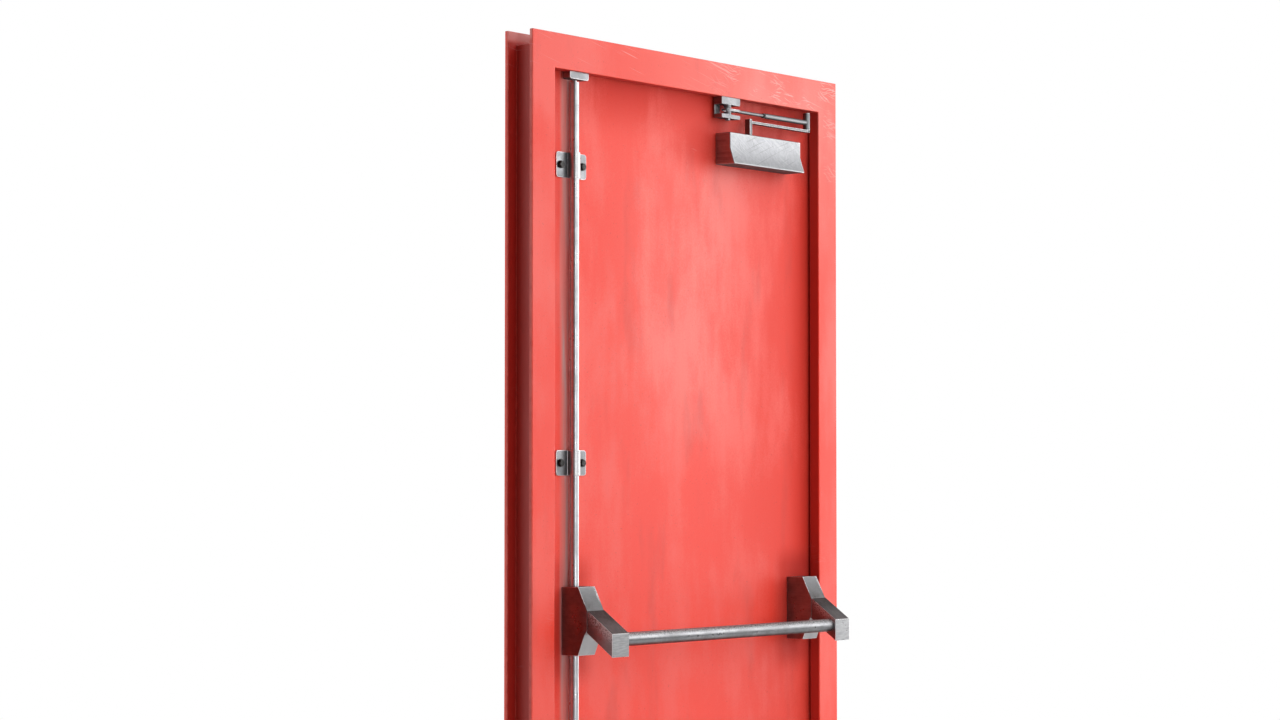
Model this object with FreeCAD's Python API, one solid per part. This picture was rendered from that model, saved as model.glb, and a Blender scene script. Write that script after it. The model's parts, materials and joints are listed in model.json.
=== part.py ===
import FreeCAD, Part
import math
import os

V = FreeCAD.Vector

# Steel exit door in its fabricated frame, in millimetres.
# X runs along the wall (hinges at +X), Y through it (the push side at -Y), Z up from the floor.
# The origin is on the floor, under the middle of the frame.

# Frame: two box posts and a head rail between flat casings that clasp the wall's edge.
frame_width = 1000.0
frame_height = 2100.0
front_casing_width = 65.0
back_casing_width = 49.0
casing_thickness = 8.0
casing_edge_round = 1.2
post_width = 25.0
post_depth = 50.0
post_wall = 3.0
threshold_height = 12.0
threshold_bevel = 8.0

# Leaf: a folded front pan, a back sheet let into it and an infill between them.
leaf_thickness = 38.0
skin_thickness = 1.5
hinge_gap = 5.0
latch_gap = 6.5
head_gap = 5.0
floor_gap = 8.0
seal_gap = 5.0

# Butt hinges screwed to the back of the leaf and to the back casing.
hinge_length = 100.0
hinge_plate_width = 34.0
hinge_plate_thickness = 2.5
knuckle_radius = 7.0
knuckle_gap = 0.6
hinge_pin_radius = 4.0
hinge_end_distance = 230.0
running_clearance = 0.06

# Push bar: two cases on the leaf, two arms that turn in them and a bar between the arms.
bar_centre_height = 1019.0
left_case_inset = 89.5
right_case_inset = 64.0
case_width = 50.0
case_height = 126.0
case_shoulder_depth = 39.0
case_nose_depth = 60.2
case_nose_height = 40.0
arm_joint_gap = 0.8
arm_reach = 118.3
arm_end_drop = 41.0
arm_end_height = 42.5
arm_root_angle = 27.5
nose_overlap_angle = 3.0
pivot_depth = 42.3
pivot_drop = 11.1
pivot_pin_radius = 4.0
pivot_lug_radius = 9.0
pivot_lug_width = 20.0
pivot_slot_clearance = 0.4
pivot_slot_margin = 2.0
pivot_slot_drop = 14.3
case_cheek_cover = 5.0
press_angle = 18.0
crossbar_radius = 12.7
crossbar_wall = 2.0
crossbar_depth = 101.5
crossbar_drop = 33.0
crossbar_socket_depth = 12.0

# Vertical rods, their guides and the keeps that take the rod tips.
rod_radius = 8.4
rod_leaf_gap = 2.1
rod_travel = 15.0
rod_case_engagement = 22.0
rod_bore_clearance = 0.4
rod_tip_radius = 4.2
rod_tip_length = 3.0
rod_tip_gap = 1.0
guide_width = 89.0
guide_height = 47.0
guide_plate_thickness = 3.0
guide_corner_radius = 6.0
guide_strap_wall = 2.0
guide_inner_distance = 291.0
guide_end_distance = 184.0
keep_width = 56.0
keep_height = 14.0
keep_corner_radius = 5.0
keep_front_margin = 11.5
keep_leaf_gap = 3.0
keep_hole_clearance = 0.6
keep_hole_depth = 10.0
floor_keep_thickness = 3.0

# Overhead closer: body, square spindle, main arm, forearm and the shoe under the head.
closer_length = 247.0
closer_height = 63.0
closer_hinge_inset = 90.0
closer_drop = 81.5
closer_top_depth = 38.0
closer_bottom_depth = 47.4
closer_edge_round = 1.5
spindle_inset = 159.5
spindle_width = 8.0
spindle_depth = 12.7
spindle_rise = 4.0
arm_plane_depth = 19.0
main_arm_width = 12.0
main_arm_thickness = 4.5
main_arm_drop = 42.4
elbow_inset = 42.1
elbow_radius = 7.2
elbow_pin_radius = 3.0
elbow_gap = 0.5
moving_clearance = 5.0
forearm_length = 280.2
forearm_drop = 24.7
forearm_tube_radius = 5.2
forearm_tube_length = 147.0
forearm_rod_radius = 3.2
forearm_rod_engagement = 25.0
forearm_eye_thickness = 4.0
forearm_eye_wall = 2.0
shoe_slot_travel = 28.5
shoe_slot_overrun = 3.5
shoe_slot_side_play = 4.6
shoe_left_margin = 27.0
shoe_right_margin = 35.0
shoe_front_margin = 6.0
shoe_top_thickness = 14.5
shoe_bottom_thickness = 7.4
shoe_height = 41.5
shoe_web_width = 18.0
shoe_web_thickness = 2.0
shoe_pin_radius = 2.5
shoe_collar_radius = 7.6
shoe_collar_gap = 0.8
shoe_pin_head_radius = 5.4
shoe_pin_head_height = 4.0

# Planes and edges that follow from the sizes above.
half_width = frame_width / 2
post_inner = half_width - back_casing_width
post_outer = post_inner + post_width
reveal_inner = half_width - front_casing_width
post_front = -post_depth / 2
post_back = post_depth / 2
front_face = post_front - casing_thickness
back_face = post_back + casing_thickness
soffit = frame_height - front_casing_width
rail_bottom = frame_height - back_casing_width
rail_top = rail_bottom + post_width

leaf_left = -post_inner + latch_gap
leaf_right = post_inner - hinge_gap
leaf_bottom = threshold_height + floor_gap
leaf_top = rail_bottom - head_gap
leaf_back = back_face
leaf_front = leaf_back - leaf_thickness
stop_back = leaf_front - seal_gap

hinge_x = leaf_right + hinge_gap / 2
hinge_y = back_face + knuckle_radius

left_case_x = leaf_left + left_case_inset
right_case_x = leaf_right - right_case_inset
rod_x = left_case_x
rod_y = leaf_front - rod_leaf_gap - rod_radius
rod_bore_radius = rod_radius + rod_bore_clearance
pivot_y = leaf_front - pivot_depth
pivot_z = bar_centre_height - pivot_drop
case_top = bar_centre_height + case_height / 2
case_bottom = bar_centre_height - case_height / 2
keep_bottom = soffit - keep_height
keep_front = rod_y - keep_front_margin
keep_back = leaf_front - keep_leaf_gap
floor_keep_top = threshold_height + floor_keep_thickness

closer_right = leaf_right - closer_hinge_inset
closer_left = closer_right - closer_length
closer_top = leaf_top - closer_drop
closer_bottom = closer_top - closer_height
arm_y = leaf_front - arm_plane_depth
spindle_x = closer_right - spindle_inset
elbow_x = leaf_right - elbow_inset
shoe_pin_x = elbow_x - forearm_length
main_arm_z = soffit - main_arm_drop
forearm_z = soffit - forearm_drop
shoe_bottom = soffit - shoe_height
forearm_tube_end = elbow_x - elbow_radius - forearm_tube_length
nose_radius = case_nose_depth - pivot_depth
nose_angle = arm_root_angle + press_angle + nose_overlap_angle
arm_root_radius = nose_radius + arm_joint_gap
pivot_pin_half = case_width / 2 - case_cheek_cover


def box(x0, x1, y0, y1, z0, z1):
    return Part.makeBox(x1 - x0, y1 - y0, z1 - z0, V(x0, y0, z0))


def rod_along(axis, radius, start, length):
    return Part.makeCylinder(radius, length, V(*start), axis)


def vertical_rod(radius, x, y, z0, z1):
    return rod_along(V(0, 0, 1), radius, (x, y, z0), z1 - z0)


def cross_rod(radius, y, z, x0, x1):
    return rod_along(V(1, 0, 0), radius, (x0, y, z), x1 - x0)


def face_of(points):
    return Part.Face(Part.makePolygon(points + points[:1]))


def face_of_edges(edges):
    return Part.Face(Part.Wire(edges))


def line(start, end):
    return Part.LineSegment(start, end).toShape()


def round_edges(solid, radius, wanted):
    edges = [edge for edge in solid.Edges if wanted(edge)]
    return solid.makeFillet(radius, edges)


def runs_along(edge, axis):
    if not isinstance(edge.Curve, Part.Line):
        return False
    return abs(edge.tangentAt(edge.FirstParameter).dot(axis)) > 0.999


def at_y(edge, y):
    return all(abs(vertex.Point.y - y) < 1e-6 for vertex in edge.Vertexes)


# Frame members

def box_post(side):
    x_near = side * post_inner
    x_far = side * post_outer
    x0 = min(x_near, x_far)
    outer = box(x0, x0 + post_width, post_front, post_back, 0, rail_bottom)
    inner = box(x0 + post_wall, x0 + post_width - post_wall,
                post_front + post_wall, post_back - post_wall, 0, rail_bottom)
    return outer.cut(inner)


def head_rail():
    outer = box(-post_outer, post_outer, post_front, post_back, rail_bottom, rail_top)
    inner = box(-post_outer, post_outer, post_front + post_wall, post_back - post_wall,
                rail_bottom + post_wall, rail_top - post_wall)
    return outer.cut(inner)


# The casings' edges are rounded on the open face only; the other face is welded to the posts.

def casing_plate(outline, y_wall, y_open, along):
    plate = face_of(outline).extrude(V(0, y_open - y_wall, 0))
    return round_edges(plate, casing_edge_round,
                       lambda edge: runs_along(edge, along) and at_y(edge, y_open))


def side_casing(side, width, y_wall, y_open):
    x_out = side * half_width
    x_in = side * (half_width - width)
    outline = [V(x_out, y_wall, 0), V(x_in, y_wall, 0),
               V(x_in, y_wall, frame_height - width), V(x_out, y_wall, frame_height)]
    return casing_plate(outline, y_wall, y_open, V(0, 0, 1))


def head_casing(width, y_wall, y_open):
    x_in = half_width - width
    z_in = frame_height - width
    outline = [V(-half_width, y_wall, frame_height), V(-x_in, y_wall, z_in),
               V(x_in, y_wall, z_in), V(half_width, y_wall, frame_height)]
    return casing_plate(outline, y_wall, y_open, V(1, 0, 0))


def side_stop(side):
    x0 = min(side * reveal_inner, side * post_inner)
    return box(x0, x0 + post_inner - reveal_inner, post_front, stop_back, 0, soffit)


def head_stop():
    return box(-post_inner, post_inner, post_front, stop_back, soffit, rail_bottom)


def threshold():
    outline = [V(-reveal_inner, front_face, 0), V(-reveal_inner, back_face, 0),
               V(-reveal_inner, back_face, threshold_height - threshold_bevel / 2),
               V(-reveal_inner, back_face - threshold_bevel, threshold_height),
               V(-reveal_inner, front_face + threshold_bevel, threshold_height),
               V(-reveal_inner, front_face, threshold_height - threshold_bevel / 2)]
    return face_of(outline).extrude(V(2 * reveal_inner, 0, 0))


# Leaf

def front_pan():
    outer = box(leaf_left, leaf_right, leaf_front, leaf_back, leaf_bottom, leaf_top)
    hollow = box(leaf_left + skin_thickness, leaf_right - skin_thickness,
                 leaf_front + skin_thickness, leaf_back,
                 leaf_bottom + skin_thickness, leaf_top - skin_thickness)
    return outer.cut(hollow)


def back_sheet():
    return box(leaf_left + skin_thickness, leaf_right - skin_thickness,
               leaf_back - skin_thickness, leaf_back,
               leaf_bottom + skin_thickness, leaf_top - skin_thickness)


def infill():
    return box(leaf_left + skin_thickness, leaf_right - skin_thickness,
               leaf_front + skin_thickness, leaf_back - skin_thickness,
               leaf_bottom + skin_thickness, leaf_top - skin_thickness)


# Hinges: two knuckles and the pin on the frame's plate, one knuckle on the leaf's plate.

def hinge_heights():
    low = leaf_bottom + hinge_end_distance
    high = leaf_top - hinge_end_distance
    return {"bottom": low, "middle": (low + high) / 2, "top": high}


def hinge_plate(side, z0, z1):
    near = hinge_x + side * (knuckle_radius + knuckle_gap)
    x0 = near if side > 0 else near - hinge_plate_width
    return box(x0, x0 + hinge_plate_width, back_face, back_face + hinge_plate_thickness, z0, z1)


def knuckle(side, z0, z1):
    strap_end = hinge_x + side * (knuckle_radius + knuckle_gap)
    strap = box(min(hinge_x, strap_end), max(hinge_x, strap_end),
                back_face, back_face + hinge_plate_thickness, z0, z1)
    return vertical_rod(knuckle_radius, hinge_x, hinge_y, z0, z1).fuse(strap)


def frame_hinge_half(z_mid):
    z0 = z_mid - hinge_length / 2
    z1 = z_mid + hinge_length / 2
    third = hinge_length / 3
    half = hinge_plate(1, z0, z1)
    half = half.fuse(knuckle(1, z0, z0 + third))
    half = half.fuse(knuckle(1, z1 - third, z1))
    pin = vertical_rod(hinge_pin_radius, hinge_x, hinge_y, z0, z1)
    return half.fuse(pin).removeSplitter()


def leaf_hinge_half(z_mid):
    third = hinge_length / 3
    half = hinge_plate(-1, z_mid - hinge_length / 2, z_mid + hinge_length / 2)
    half = half.fuse(knuckle(-1, z_mid - third / 2 + knuckle_gap, z_mid + third / 2 - knuckle_gap))
    bore = vertical_rod(hinge_pin_radius + running_clearance, hinge_x, hinge_y,
                        z_mid - hinge_length, z_mid + hinge_length)
    return half.cut(bore).removeSplitter()


# Push bar

def on_pivot_circle(x, radius, angle_below):
    angle = math.radians(angle_below)
    return V(x, pivot_y - radius * math.cos(angle), pivot_z - radius * math.sin(angle))


def pivot_arc(x, radius, first, last):
    middle = on_pivot_circle(x, radius, (first + last) / 2)
    return Part.Arc(on_pivot_circle(x, radius, first), middle,
                    on_pivot_circle(x, radius, last)).toShape()


def case_body(x_mid):
    x = x_mid - case_width / 2
    shoulder = leaf_front - case_shoulder_depth
    nose = leaf_front - case_nose_depth
    rear_top = V(x, leaf_front, case_top)
    front_top = V(x, shoulder, case_top)
    nose_top = V(x, nose, bar_centre_height + case_nose_height / 2)
    nose_low = on_pivot_circle(x, nose_radius, 0)
    nose_end = on_pivot_circle(x, nose_radius, nose_angle)
    front_low = V(x, shoulder, case_bottom)
    rear_low = V(x, leaf_front, case_bottom)
    outline = [line(rear_top, front_top), line(front_top, nose_top), line(nose_top, nose_low),
               pivot_arc(x, nose_radius, 0, nose_angle), line(nose_end, front_low),
               line(front_low, rear_low), line(rear_low, rear_top)]
    body = face_of_edges(outline).extrude(V(case_width, 0, 0))
    slot_half = pivot_lug_width / 2 + pivot_slot_clearance
    slot_reach = pivot_lug_radius + pivot_slot_margin
    slot = box(x_mid - slot_half, x_mid + slot_half, nose - arm_joint_gap, pivot_y + slot_reach,
               pivot_z - pivot_slot_drop, pivot_z + slot_reach)
    pin_bore = cross_rod(pivot_pin_radius + running_clearance, pivot_y, pivot_z,
                         x_mid - pivot_pin_half, x_mid + pivot_pin_half)
    return body.cut(slot).cut(pin_bore)


def rod_bores():
    depth = rod_case_engagement + rod_travel + moving_clearance
    upper = vertical_rod(rod_bore_radius, rod_x, rod_y, case_top - depth, case_top)
    lower = vertical_rod(rod_bore_radius, rod_x, rod_y, case_bottom, case_bottom + depth)
    return upper.fuse(lower)


def pivot_pin(x_mid):
    return cross_rod(pivot_pin_radius, pivot_y, pivot_z,
                     x_mid - pivot_pin_half, x_mid + pivot_pin_half)


def push_arm(x_mid, inward):
    x = x_mid - case_width / 2
    root = leaf_front - case_nose_depth - arm_joint_gap
    end = leaf_front - arm_reach
    root_top = V(x, root, bar_centre_height + case_nose_height / 2)
    end_top = V(x, end, bar_centre_height + case_nose_height / 2 - arm_end_drop)
    end_low = end_top - V(0, 0, arm_end_height)
    root_low = on_pivot_circle(x, arm_root_radius, arm_root_angle)
    root_mid = on_pivot_circle(x, arm_root_radius, 0)
    outline = [line(root_top, end_top), line(end_top, end_low), line(end_low, root_low),
               pivot_arc(x, arm_root_radius, arm_root_angle, 0), line(root_mid, root_top)]
    arm = face_of_edges(outline).extrude(V(case_width, 0, 0))
    lug_x = x_mid - pivot_lug_width / 2
    lug = cross_rod(pivot_lug_radius, pivot_y, pivot_z, lug_x, lug_x + pivot_lug_width)
    neck = box(lug_x, lug_x + pivot_lug_width, root - pivot_slot_margin, pivot_y,
               pivot_z - pivot_lug_radius / 2, pivot_z + pivot_lug_radius)
    bore = cross_rod(pivot_pin_radius + running_clearance, pivot_y, pivot_z, x, x + case_width)
    socket_mouth = x_mid + inward * case_width / 2
    socket_end = socket_mouth - inward * crossbar_socket_depth
    socket = cross_rod(crossbar_radius + running_clearance, leaf_front - crossbar_depth,
                       bar_centre_height - crossbar_drop,
                       min(socket_mouth, socket_end), max(socket_mouth, socket_end))
    return arm.fuse(lug).fuse(neck).cut(bore).cut(socket).removeSplitter()


def crossbar():
    x0 = left_case_x + case_width / 2 - crossbar_socket_depth
    x1 = right_case_x - case_width / 2 + crossbar_socket_depth
    y = leaf_front - crossbar_depth
    z = bar_centre_height - crossbar_drop
    bar = cross_rod(crossbar_radius, y, z, x0, x1)
    return bar.cut(cross_rod(crossbar_radius - crossbar_wall, y, z, x0, x1))


# Vertical rods

def rod_with_tip(z_case, z_tip):
    up = 1 if z_tip > z_case else -1
    shoulder = z_tip - up * rod_tip_length
    shank = vertical_rod(rod_radius, rod_x, rod_y, min(z_case, shoulder), max(z_case, shoulder))
    tip = vertical_rod(rod_tip_radius, rod_x, rod_y, min(shoulder, z_tip), max(shoulder, z_tip))
    return shank.fuse(tip)


def rod_guide(z_mid):
    z0 = z_mid - guide_height / 2
    plate = box(rod_x - guide_width / 2, rod_x + guide_width / 2,
                leaf_front - guide_plate_thickness, leaf_front, z0, z0 + guide_height)
    plate = round_edges(plate, guide_corner_radius, lambda edge: runs_along(edge, V(0, 1, 0)))
    strap_radius = rod_bore_radius + guide_strap_wall
    strap = vertical_rod(strap_radius, rod_x, rod_y, z0, z0 + guide_height)
    strap = strap.common(box(rod_x - strap_radius, rod_x + strap_radius, rod_y - strap_radius, rod_y,
                             z0, z0 + guide_height))
    legs = box(rod_x - strap_radius, rod_x + strap_radius, rod_y, leaf_front,
               z0, z0 + guide_height)
    bore = vertical_rod(rod_bore_radius, rod_x, rod_y, z0, z0 + guide_height)
    return plate.fuse(strap).fuse(legs).cut(bore).removeSplitter()


def tip_hole(z0, z1):
    return vertical_rod(rod_tip_radius + keep_hole_clearance, rod_x, rod_y, z0, z1)


def head_keep():
    block = box(rod_x - keep_width / 2, rod_x + keep_width / 2,
                keep_front, keep_back, keep_bottom, soffit)
    block = round_edges(block, keep_corner_radius,
                        lambda edge: runs_along(edge, V(0, 1, 0)) and edge.BoundBox.ZMax < soffit)
    return block.cut(tip_hole(keep_bottom, keep_bottom + keep_hole_depth))


def floor_keep():
    plate = box(rod_x - keep_width / 2, rod_x + keep_width / 2,
                keep_front, keep_back, threshold_height, floor_keep_top)
    plate = round_edges(plate, keep_corner_radius,
                        lambda edge: runs_along(edge, V(0, 0, 1)) and at_y(edge, keep_front))
    return plate.cut(tip_hole(threshold_height, floor_keep_top))


# Overhead closer

def closer_body():
    x = closer_left
    middle = closer_bottom + closer_height / 2
    outline = [V(x, leaf_front, closer_top), V(x, leaf_front - closer_top_depth, closer_top),
               V(x, leaf_front - closer_top_depth, middle),
               V(x, leaf_front - closer_bottom_depth, closer_bottom),
               V(x, leaf_front, closer_bottom)]
    body = face_of(outline).extrude(V(closer_length, 0, 0))
    return round_edges(body, closer_edge_round,
                       lambda edge: edge.BoundBox.YMax < leaf_front)


def closer_spindle():
    return box(spindle_x - spindle_width / 2, spindle_x + spindle_width / 2,
               arm_y - spindle_depth / 2, arm_y + spindle_depth / 2,
               closer_top, main_arm_z + main_arm_thickness / 2 + spindle_rise)


def closer_main_arm():
    z0 = main_arm_z - main_arm_thickness / 2
    z1 = main_arm_z + main_arm_thickness / 2
    bar = box(spindle_x + spindle_width / 2, elbow_x,
              arm_y - main_arm_width / 2, arm_y + main_arm_width / 2, z0, z1)
    eye = vertical_rod(elbow_radius, elbow_x, arm_y, z0, z1)
    bore = vertical_rod(elbow_pin_radius + running_clearance, elbow_x, arm_y, z0, z1)
    return bar.fuse(eye).cut(bore).removeSplitter()


def elbow_post():
    z0 = main_arm_z + main_arm_thickness / 2 + elbow_gap
    post = vertical_rod(elbow_radius, elbow_x, arm_y, z0, soffit - moving_clearance)
    pin = vertical_rod(elbow_pin_radius, elbow_x, arm_y, main_arm_z - main_arm_thickness / 2, z0)
    return post.fuse(pin)


def forearm_tube():
    tube = cross_rod(forearm_tube_radius, arm_y, forearm_z, forearm_tube_end, elbow_x)
    bore = cross_rod(forearm_rod_radius + running_clearance, arm_y, forearm_z,
                     forearm_tube_end, forearm_tube_end + forearm_rod_engagement)
    return tube.cut(bore).cut(elbow_post())


def forearm_rod():
    slot_half = shoe_pin_radius + shoe_slot_side_play
    eye_half = slot_half + forearm_eye_wall
    slot_far = shoe_pin_x - shoe_slot_overrun
    slot_near = shoe_pin_x + shoe_slot_travel
    z0 = forearm_z - forearm_eye_thickness / 2
    z1 = forearm_z + forearm_eye_thickness / 2
    eye = box(slot_far, slot_near, arm_y - eye_half, arm_y + eye_half, z0, z1)
    slot = box(slot_far, slot_near, arm_y - slot_half, arm_y + slot_half, z0, z1)
    for x in (slot_far, slot_near):
        eye = eye.fuse(vertical_rod(eye_half, x, arm_y, z0, z1))
        slot = slot.fuse(vertical_rod(slot_half, x, arm_y, z0, z1))
    shank = cross_rod(forearm_rod_radius, arm_y, forearm_z, slot_near + slot_half,
                      forearm_tube_end + forearm_rod_engagement)
    return eye.fuse(shank).cut(slot).removeSplitter()


def closer_shoe():
    x0 = shoe_pin_x - shoe_left_margin
    x1 = shoe_pin_x + shoe_right_margin
    y0 = arm_y - shoe_front_margin
    top = box(x0, x1, y0, stop_back, soffit - shoe_top_thickness, soffit)
    bottom = box(x0, x1, y0, stop_back, shoe_bottom, shoe_bottom + shoe_bottom_thickness)
    web = box(x0, x0 + shoe_web_width, stop_back - shoe_web_thickness, stop_back,
              shoe_bottom, soffit)
    bore = vertical_rod(shoe_pin_radius, shoe_pin_x, arm_y,
                        shoe_bottom, shoe_bottom + shoe_bottom_thickness)
    return top.fuse(web).fuse(bottom).cut(bore).removeSplitter()


def closer_shoe_pin():
    gap_half = forearm_rod_radius + shoe_collar_gap
    plate_top = shoe_bottom + shoe_bottom_thickness
    ceiling = soffit - shoe_top_thickness
    pin = vertical_rod(shoe_pin_radius, shoe_pin_x, arm_y, shoe_bottom, ceiling)
    low = vertical_rod(shoe_collar_radius, shoe_pin_x, arm_y, plate_top, forearm_z - gap_half)
    high = vertical_rod(shoe_collar_radius, shoe_pin_x, arm_y, forearm_z + gap_half, ceiling)
    corners = [V(shoe_pin_x + shoe_pin_head_radius * math.cos(math.radians(angle)),
                 arm_y + shoe_pin_head_radius * math.sin(math.radians(angle)), shoe_bottom)
               for angle in range(0, 360, 60)]
    head = face_of(corners).extrude(V(0, 0, -shoe_pin_head_height))
    return pin.fuse(low).fuse(high).fuse(head).removeSplitter()


# Every piece by name

def build_pieces():
    pieces = {
        "left_post": box_post(-1),
        "right_post": box_post(1),
        "head_rail": head_rail(),
        "front_casing_left": side_casing(-1, front_casing_width, post_front, front_face),
        "front_casing_right": side_casing(1, front_casing_width, post_front, front_face),
        "front_casing_head": head_casing(front_casing_width, post_front, front_face),
        "back_casing_left": side_casing(-1, back_casing_width, post_back, back_face),
        "back_casing_right": side_casing(1, back_casing_width, post_back, back_face),
        "back_casing_head": head_casing(back_casing_width, post_back, back_face),
        "stop_left": side_stop(-1),
        "stop_right": side_stop(1),
        "stop_head": head_stop(),
        "threshold": threshold(),
        "head_keep": head_keep(),
        "floor_keep": floor_keep(),
        "closer_shoe": closer_shoe(),
        "closer_shoe_pin": closer_shoe_pin(),
        "leaf_front_pan": front_pan(),
        "leaf_back_sheet": back_sheet(),
        "leaf_infill": infill(),
        "left_case": case_body(left_case_x).cut(rod_bores()),
        "right_case": case_body(right_case_x),
        "left_pivot_pin": pivot_pin(left_case_x),
        "right_pivot_pin": pivot_pin(right_case_x),
        "left_arm": push_arm(left_case_x, 1),
        "right_arm": push_arm(right_case_x, -1),
        "crossbar": crossbar(),
        "top_rod": rod_with_tip(case_top - rod_case_engagement, keep_bottom - rod_tip_gap),
        "bottom_rod": rod_with_tip(case_bottom + rod_case_engagement,
                                   floor_keep_top + rod_tip_gap),
        "closer_body": closer_body(),
        "closer_spindle": closer_spindle(),
        "closer_main_arm": closer_main_arm(),
        "elbow_post": elbow_post(),
        "forearm_tube": forearm_tube(),
        "forearm_rod": forearm_rod(),
    }
    for place, z_mid in hinge_heights().items():
        pieces["frame_hinge_" + place] = frame_hinge_half(z_mid)
        pieces["leaf_hinge_" + place] = leaf_hinge_half(z_mid)
    guide_heights = [leaf_bottom + guide_end_distance - floor_gap,
                     bar_centre_height - guide_inner_distance,
                     bar_centre_height + guide_inner_distance,
                     leaf_top - guide_end_distance]
    for number, z_mid in enumerate(guide_heights, start=1):
        pieces["rod_guide_%d" % number] = rod_guide(z_mid)
    return pieces


os.makedirs("parts", exist_ok=True)
for name, shape in build_pieces().items():
    shape.exportStep("parts/" + name + ".step")
    print(name, len(shape.Solids), round(shape.Volume / 1000.0, 1), shape.isValid())
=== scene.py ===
# %% [markdown]
# # A red steel exit door
#
# The door is a welded steel frame that clasps the edge of a wall, a flat steel leaf, and the fittings
# on its push side: a push bar, two upright rods with their guides, and an overhead closer.
# The construction comes ready made, at its real size, so this lesson adds what the eye sees: eased
# edges, fasteners, paint, bare steel and the light. Loading it first fixes the frame of reference, and
# its box is kept.

# %% Load the door
import json
import math
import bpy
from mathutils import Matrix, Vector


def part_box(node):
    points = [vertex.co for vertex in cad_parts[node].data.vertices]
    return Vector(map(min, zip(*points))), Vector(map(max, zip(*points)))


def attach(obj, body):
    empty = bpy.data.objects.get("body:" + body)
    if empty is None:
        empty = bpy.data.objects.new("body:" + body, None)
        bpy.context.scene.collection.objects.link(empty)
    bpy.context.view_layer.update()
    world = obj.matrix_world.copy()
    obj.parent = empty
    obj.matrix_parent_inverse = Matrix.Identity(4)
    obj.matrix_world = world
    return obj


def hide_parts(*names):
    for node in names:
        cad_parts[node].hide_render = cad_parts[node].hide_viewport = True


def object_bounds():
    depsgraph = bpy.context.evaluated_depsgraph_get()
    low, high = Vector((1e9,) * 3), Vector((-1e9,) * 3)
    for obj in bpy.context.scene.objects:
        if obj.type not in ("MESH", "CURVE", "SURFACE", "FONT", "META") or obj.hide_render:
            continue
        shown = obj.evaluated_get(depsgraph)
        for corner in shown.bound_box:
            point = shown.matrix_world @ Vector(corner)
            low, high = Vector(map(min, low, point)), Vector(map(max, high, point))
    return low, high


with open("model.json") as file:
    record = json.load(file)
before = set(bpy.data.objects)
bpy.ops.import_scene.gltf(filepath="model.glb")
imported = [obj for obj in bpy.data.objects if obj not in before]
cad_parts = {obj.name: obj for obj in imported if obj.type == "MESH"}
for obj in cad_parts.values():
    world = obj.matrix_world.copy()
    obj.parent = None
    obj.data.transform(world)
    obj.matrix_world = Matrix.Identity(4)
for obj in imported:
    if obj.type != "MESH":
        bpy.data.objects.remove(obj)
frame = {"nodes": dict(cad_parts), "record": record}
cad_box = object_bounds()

from types import SimpleNamespace

import bmesh
import bpy
from mathutils import Matrix, Vector

scene = bpy.context.scene
scene.view_settings.view_transform = "Standard"
print("box:", [round(value, 4) for corner in cad_box for value in corner])

# %% [markdown]
# ## The camera
#
# The photograph was taken from the push side, well to the left of the door and a little above the bar.
# Matching the directions of the frame's edges gives the place, the turn and the lens. A long lens keeps
# the uprights nearly parallel, and the door's foot falls below the picture's edge.

# %% Camera
CAMERA_PLACE = (-4.8478, -3.5476, 1.2840)
CAMERA_TURN = (math.radians(92.170), 0.0, math.radians(-53.044))
LENS_MM = 86.83
SENSOR_MM = 36.0

camera_data = bpy.data.cameras.new("photo_camera")
camera_data.sensor_fit = "HORIZONTAL"
camera_data.sensor_width = SENSOR_MM
camera_data.lens = LENS_MM
camera = bpy.data.objects.new("photo_camera", camera_data)
camera.location = CAMERA_PLACE
camera.rotation_euler = CAMERA_TURN
scene.collection.objects.link(camera)
scene.camera = camera
print("camera at", CAMERA_PLACE, "lens", LENS_MM)

# %% [markdown]
# ## Shader maths as plain Python
#
# A material is a net of nodes. Written as single nodes it is hard to read, so one small class wraps a
# socket: adding or multiplying two wrapped sockets adds a Math node, and `node` adds any other kind.
# The same class serves the world, the materials and, further on, the trees of Geometry Nodes.

# %% The wire class
def find_socket(sockets, name):
    """A socket by its index, its identifier or its name."""
    if isinstance(name, int):
        return sockets[name]
    for socket in sockets:
        if socket.identifier == name:
            return socket
    return sockets[name]


class Wire:
    """One socket of a node tree. Operators add Math nodes, and node() adds a node of any kind."""

    def __init__(self, tree, socket=None):
        self.tree = tree
        self.socket = socket

    def node(self, kind, settings=None, links=None, out=0):
        made = self.tree.nodes.new(kind)
        for name, value in (settings or {}).items():
            setattr(made, name, value)
        for name, value in (links or {}).items():
            socket = find_socket(made.inputs, name)
            if isinstance(value, Wire):
                self.tree.links.new(value.socket, socket)
            else:
                socket.default_value = value
        return Wire(self.tree, find_socket(made.outputs, out)) if made.outputs else None

    def math(self, operation, first, second=0.0):
        return self.node("ShaderNodeMath", {"operation": operation}, {0: first, 1: second})

    def __add__(self, other):
        return self.math("ADD", self, other)

    def __sub__(self, other):
        return self.math("SUBTRACT", self, other)

    def __mul__(self, other):
        return self.math("MULTIPLY", self, other)

    def __radd__(self, other):
        return self.math("ADD", other, self)

    def __rsub__(self, other):
        return self.math("SUBTRACT", other, self)

    def __rmul__(self, other):
        return self.math("MULTIPLY", other, self)

    def __abs__(self):
        return self.math("ABSOLUTE", self)

    def larger(self, other):
        return self.math("MAXIMUM", self, other)

    def smooth(self, low, high):
        """0 at low, 1 at high and a soft step between them. With low above high it falls instead."""
        links = {"Value": self, "From Min": low, "From Max": high}
        return self.node("ShaderNodeMapRange", {"interpolation_type": "SMOOTHSTEP"}, links)

    def axis(self, name):
        return self.node("ShaderNodeSeparateXYZ", {}, {0: self}, name)


print("wire methods:", [name for name in vars(Wire) if not name.startswith("_")])

# %% Colours and noise
NOISE_MIDDLE = 0.5


def rgb(red, green, blue):
    return (red, green, blue, 1.0)


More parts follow.
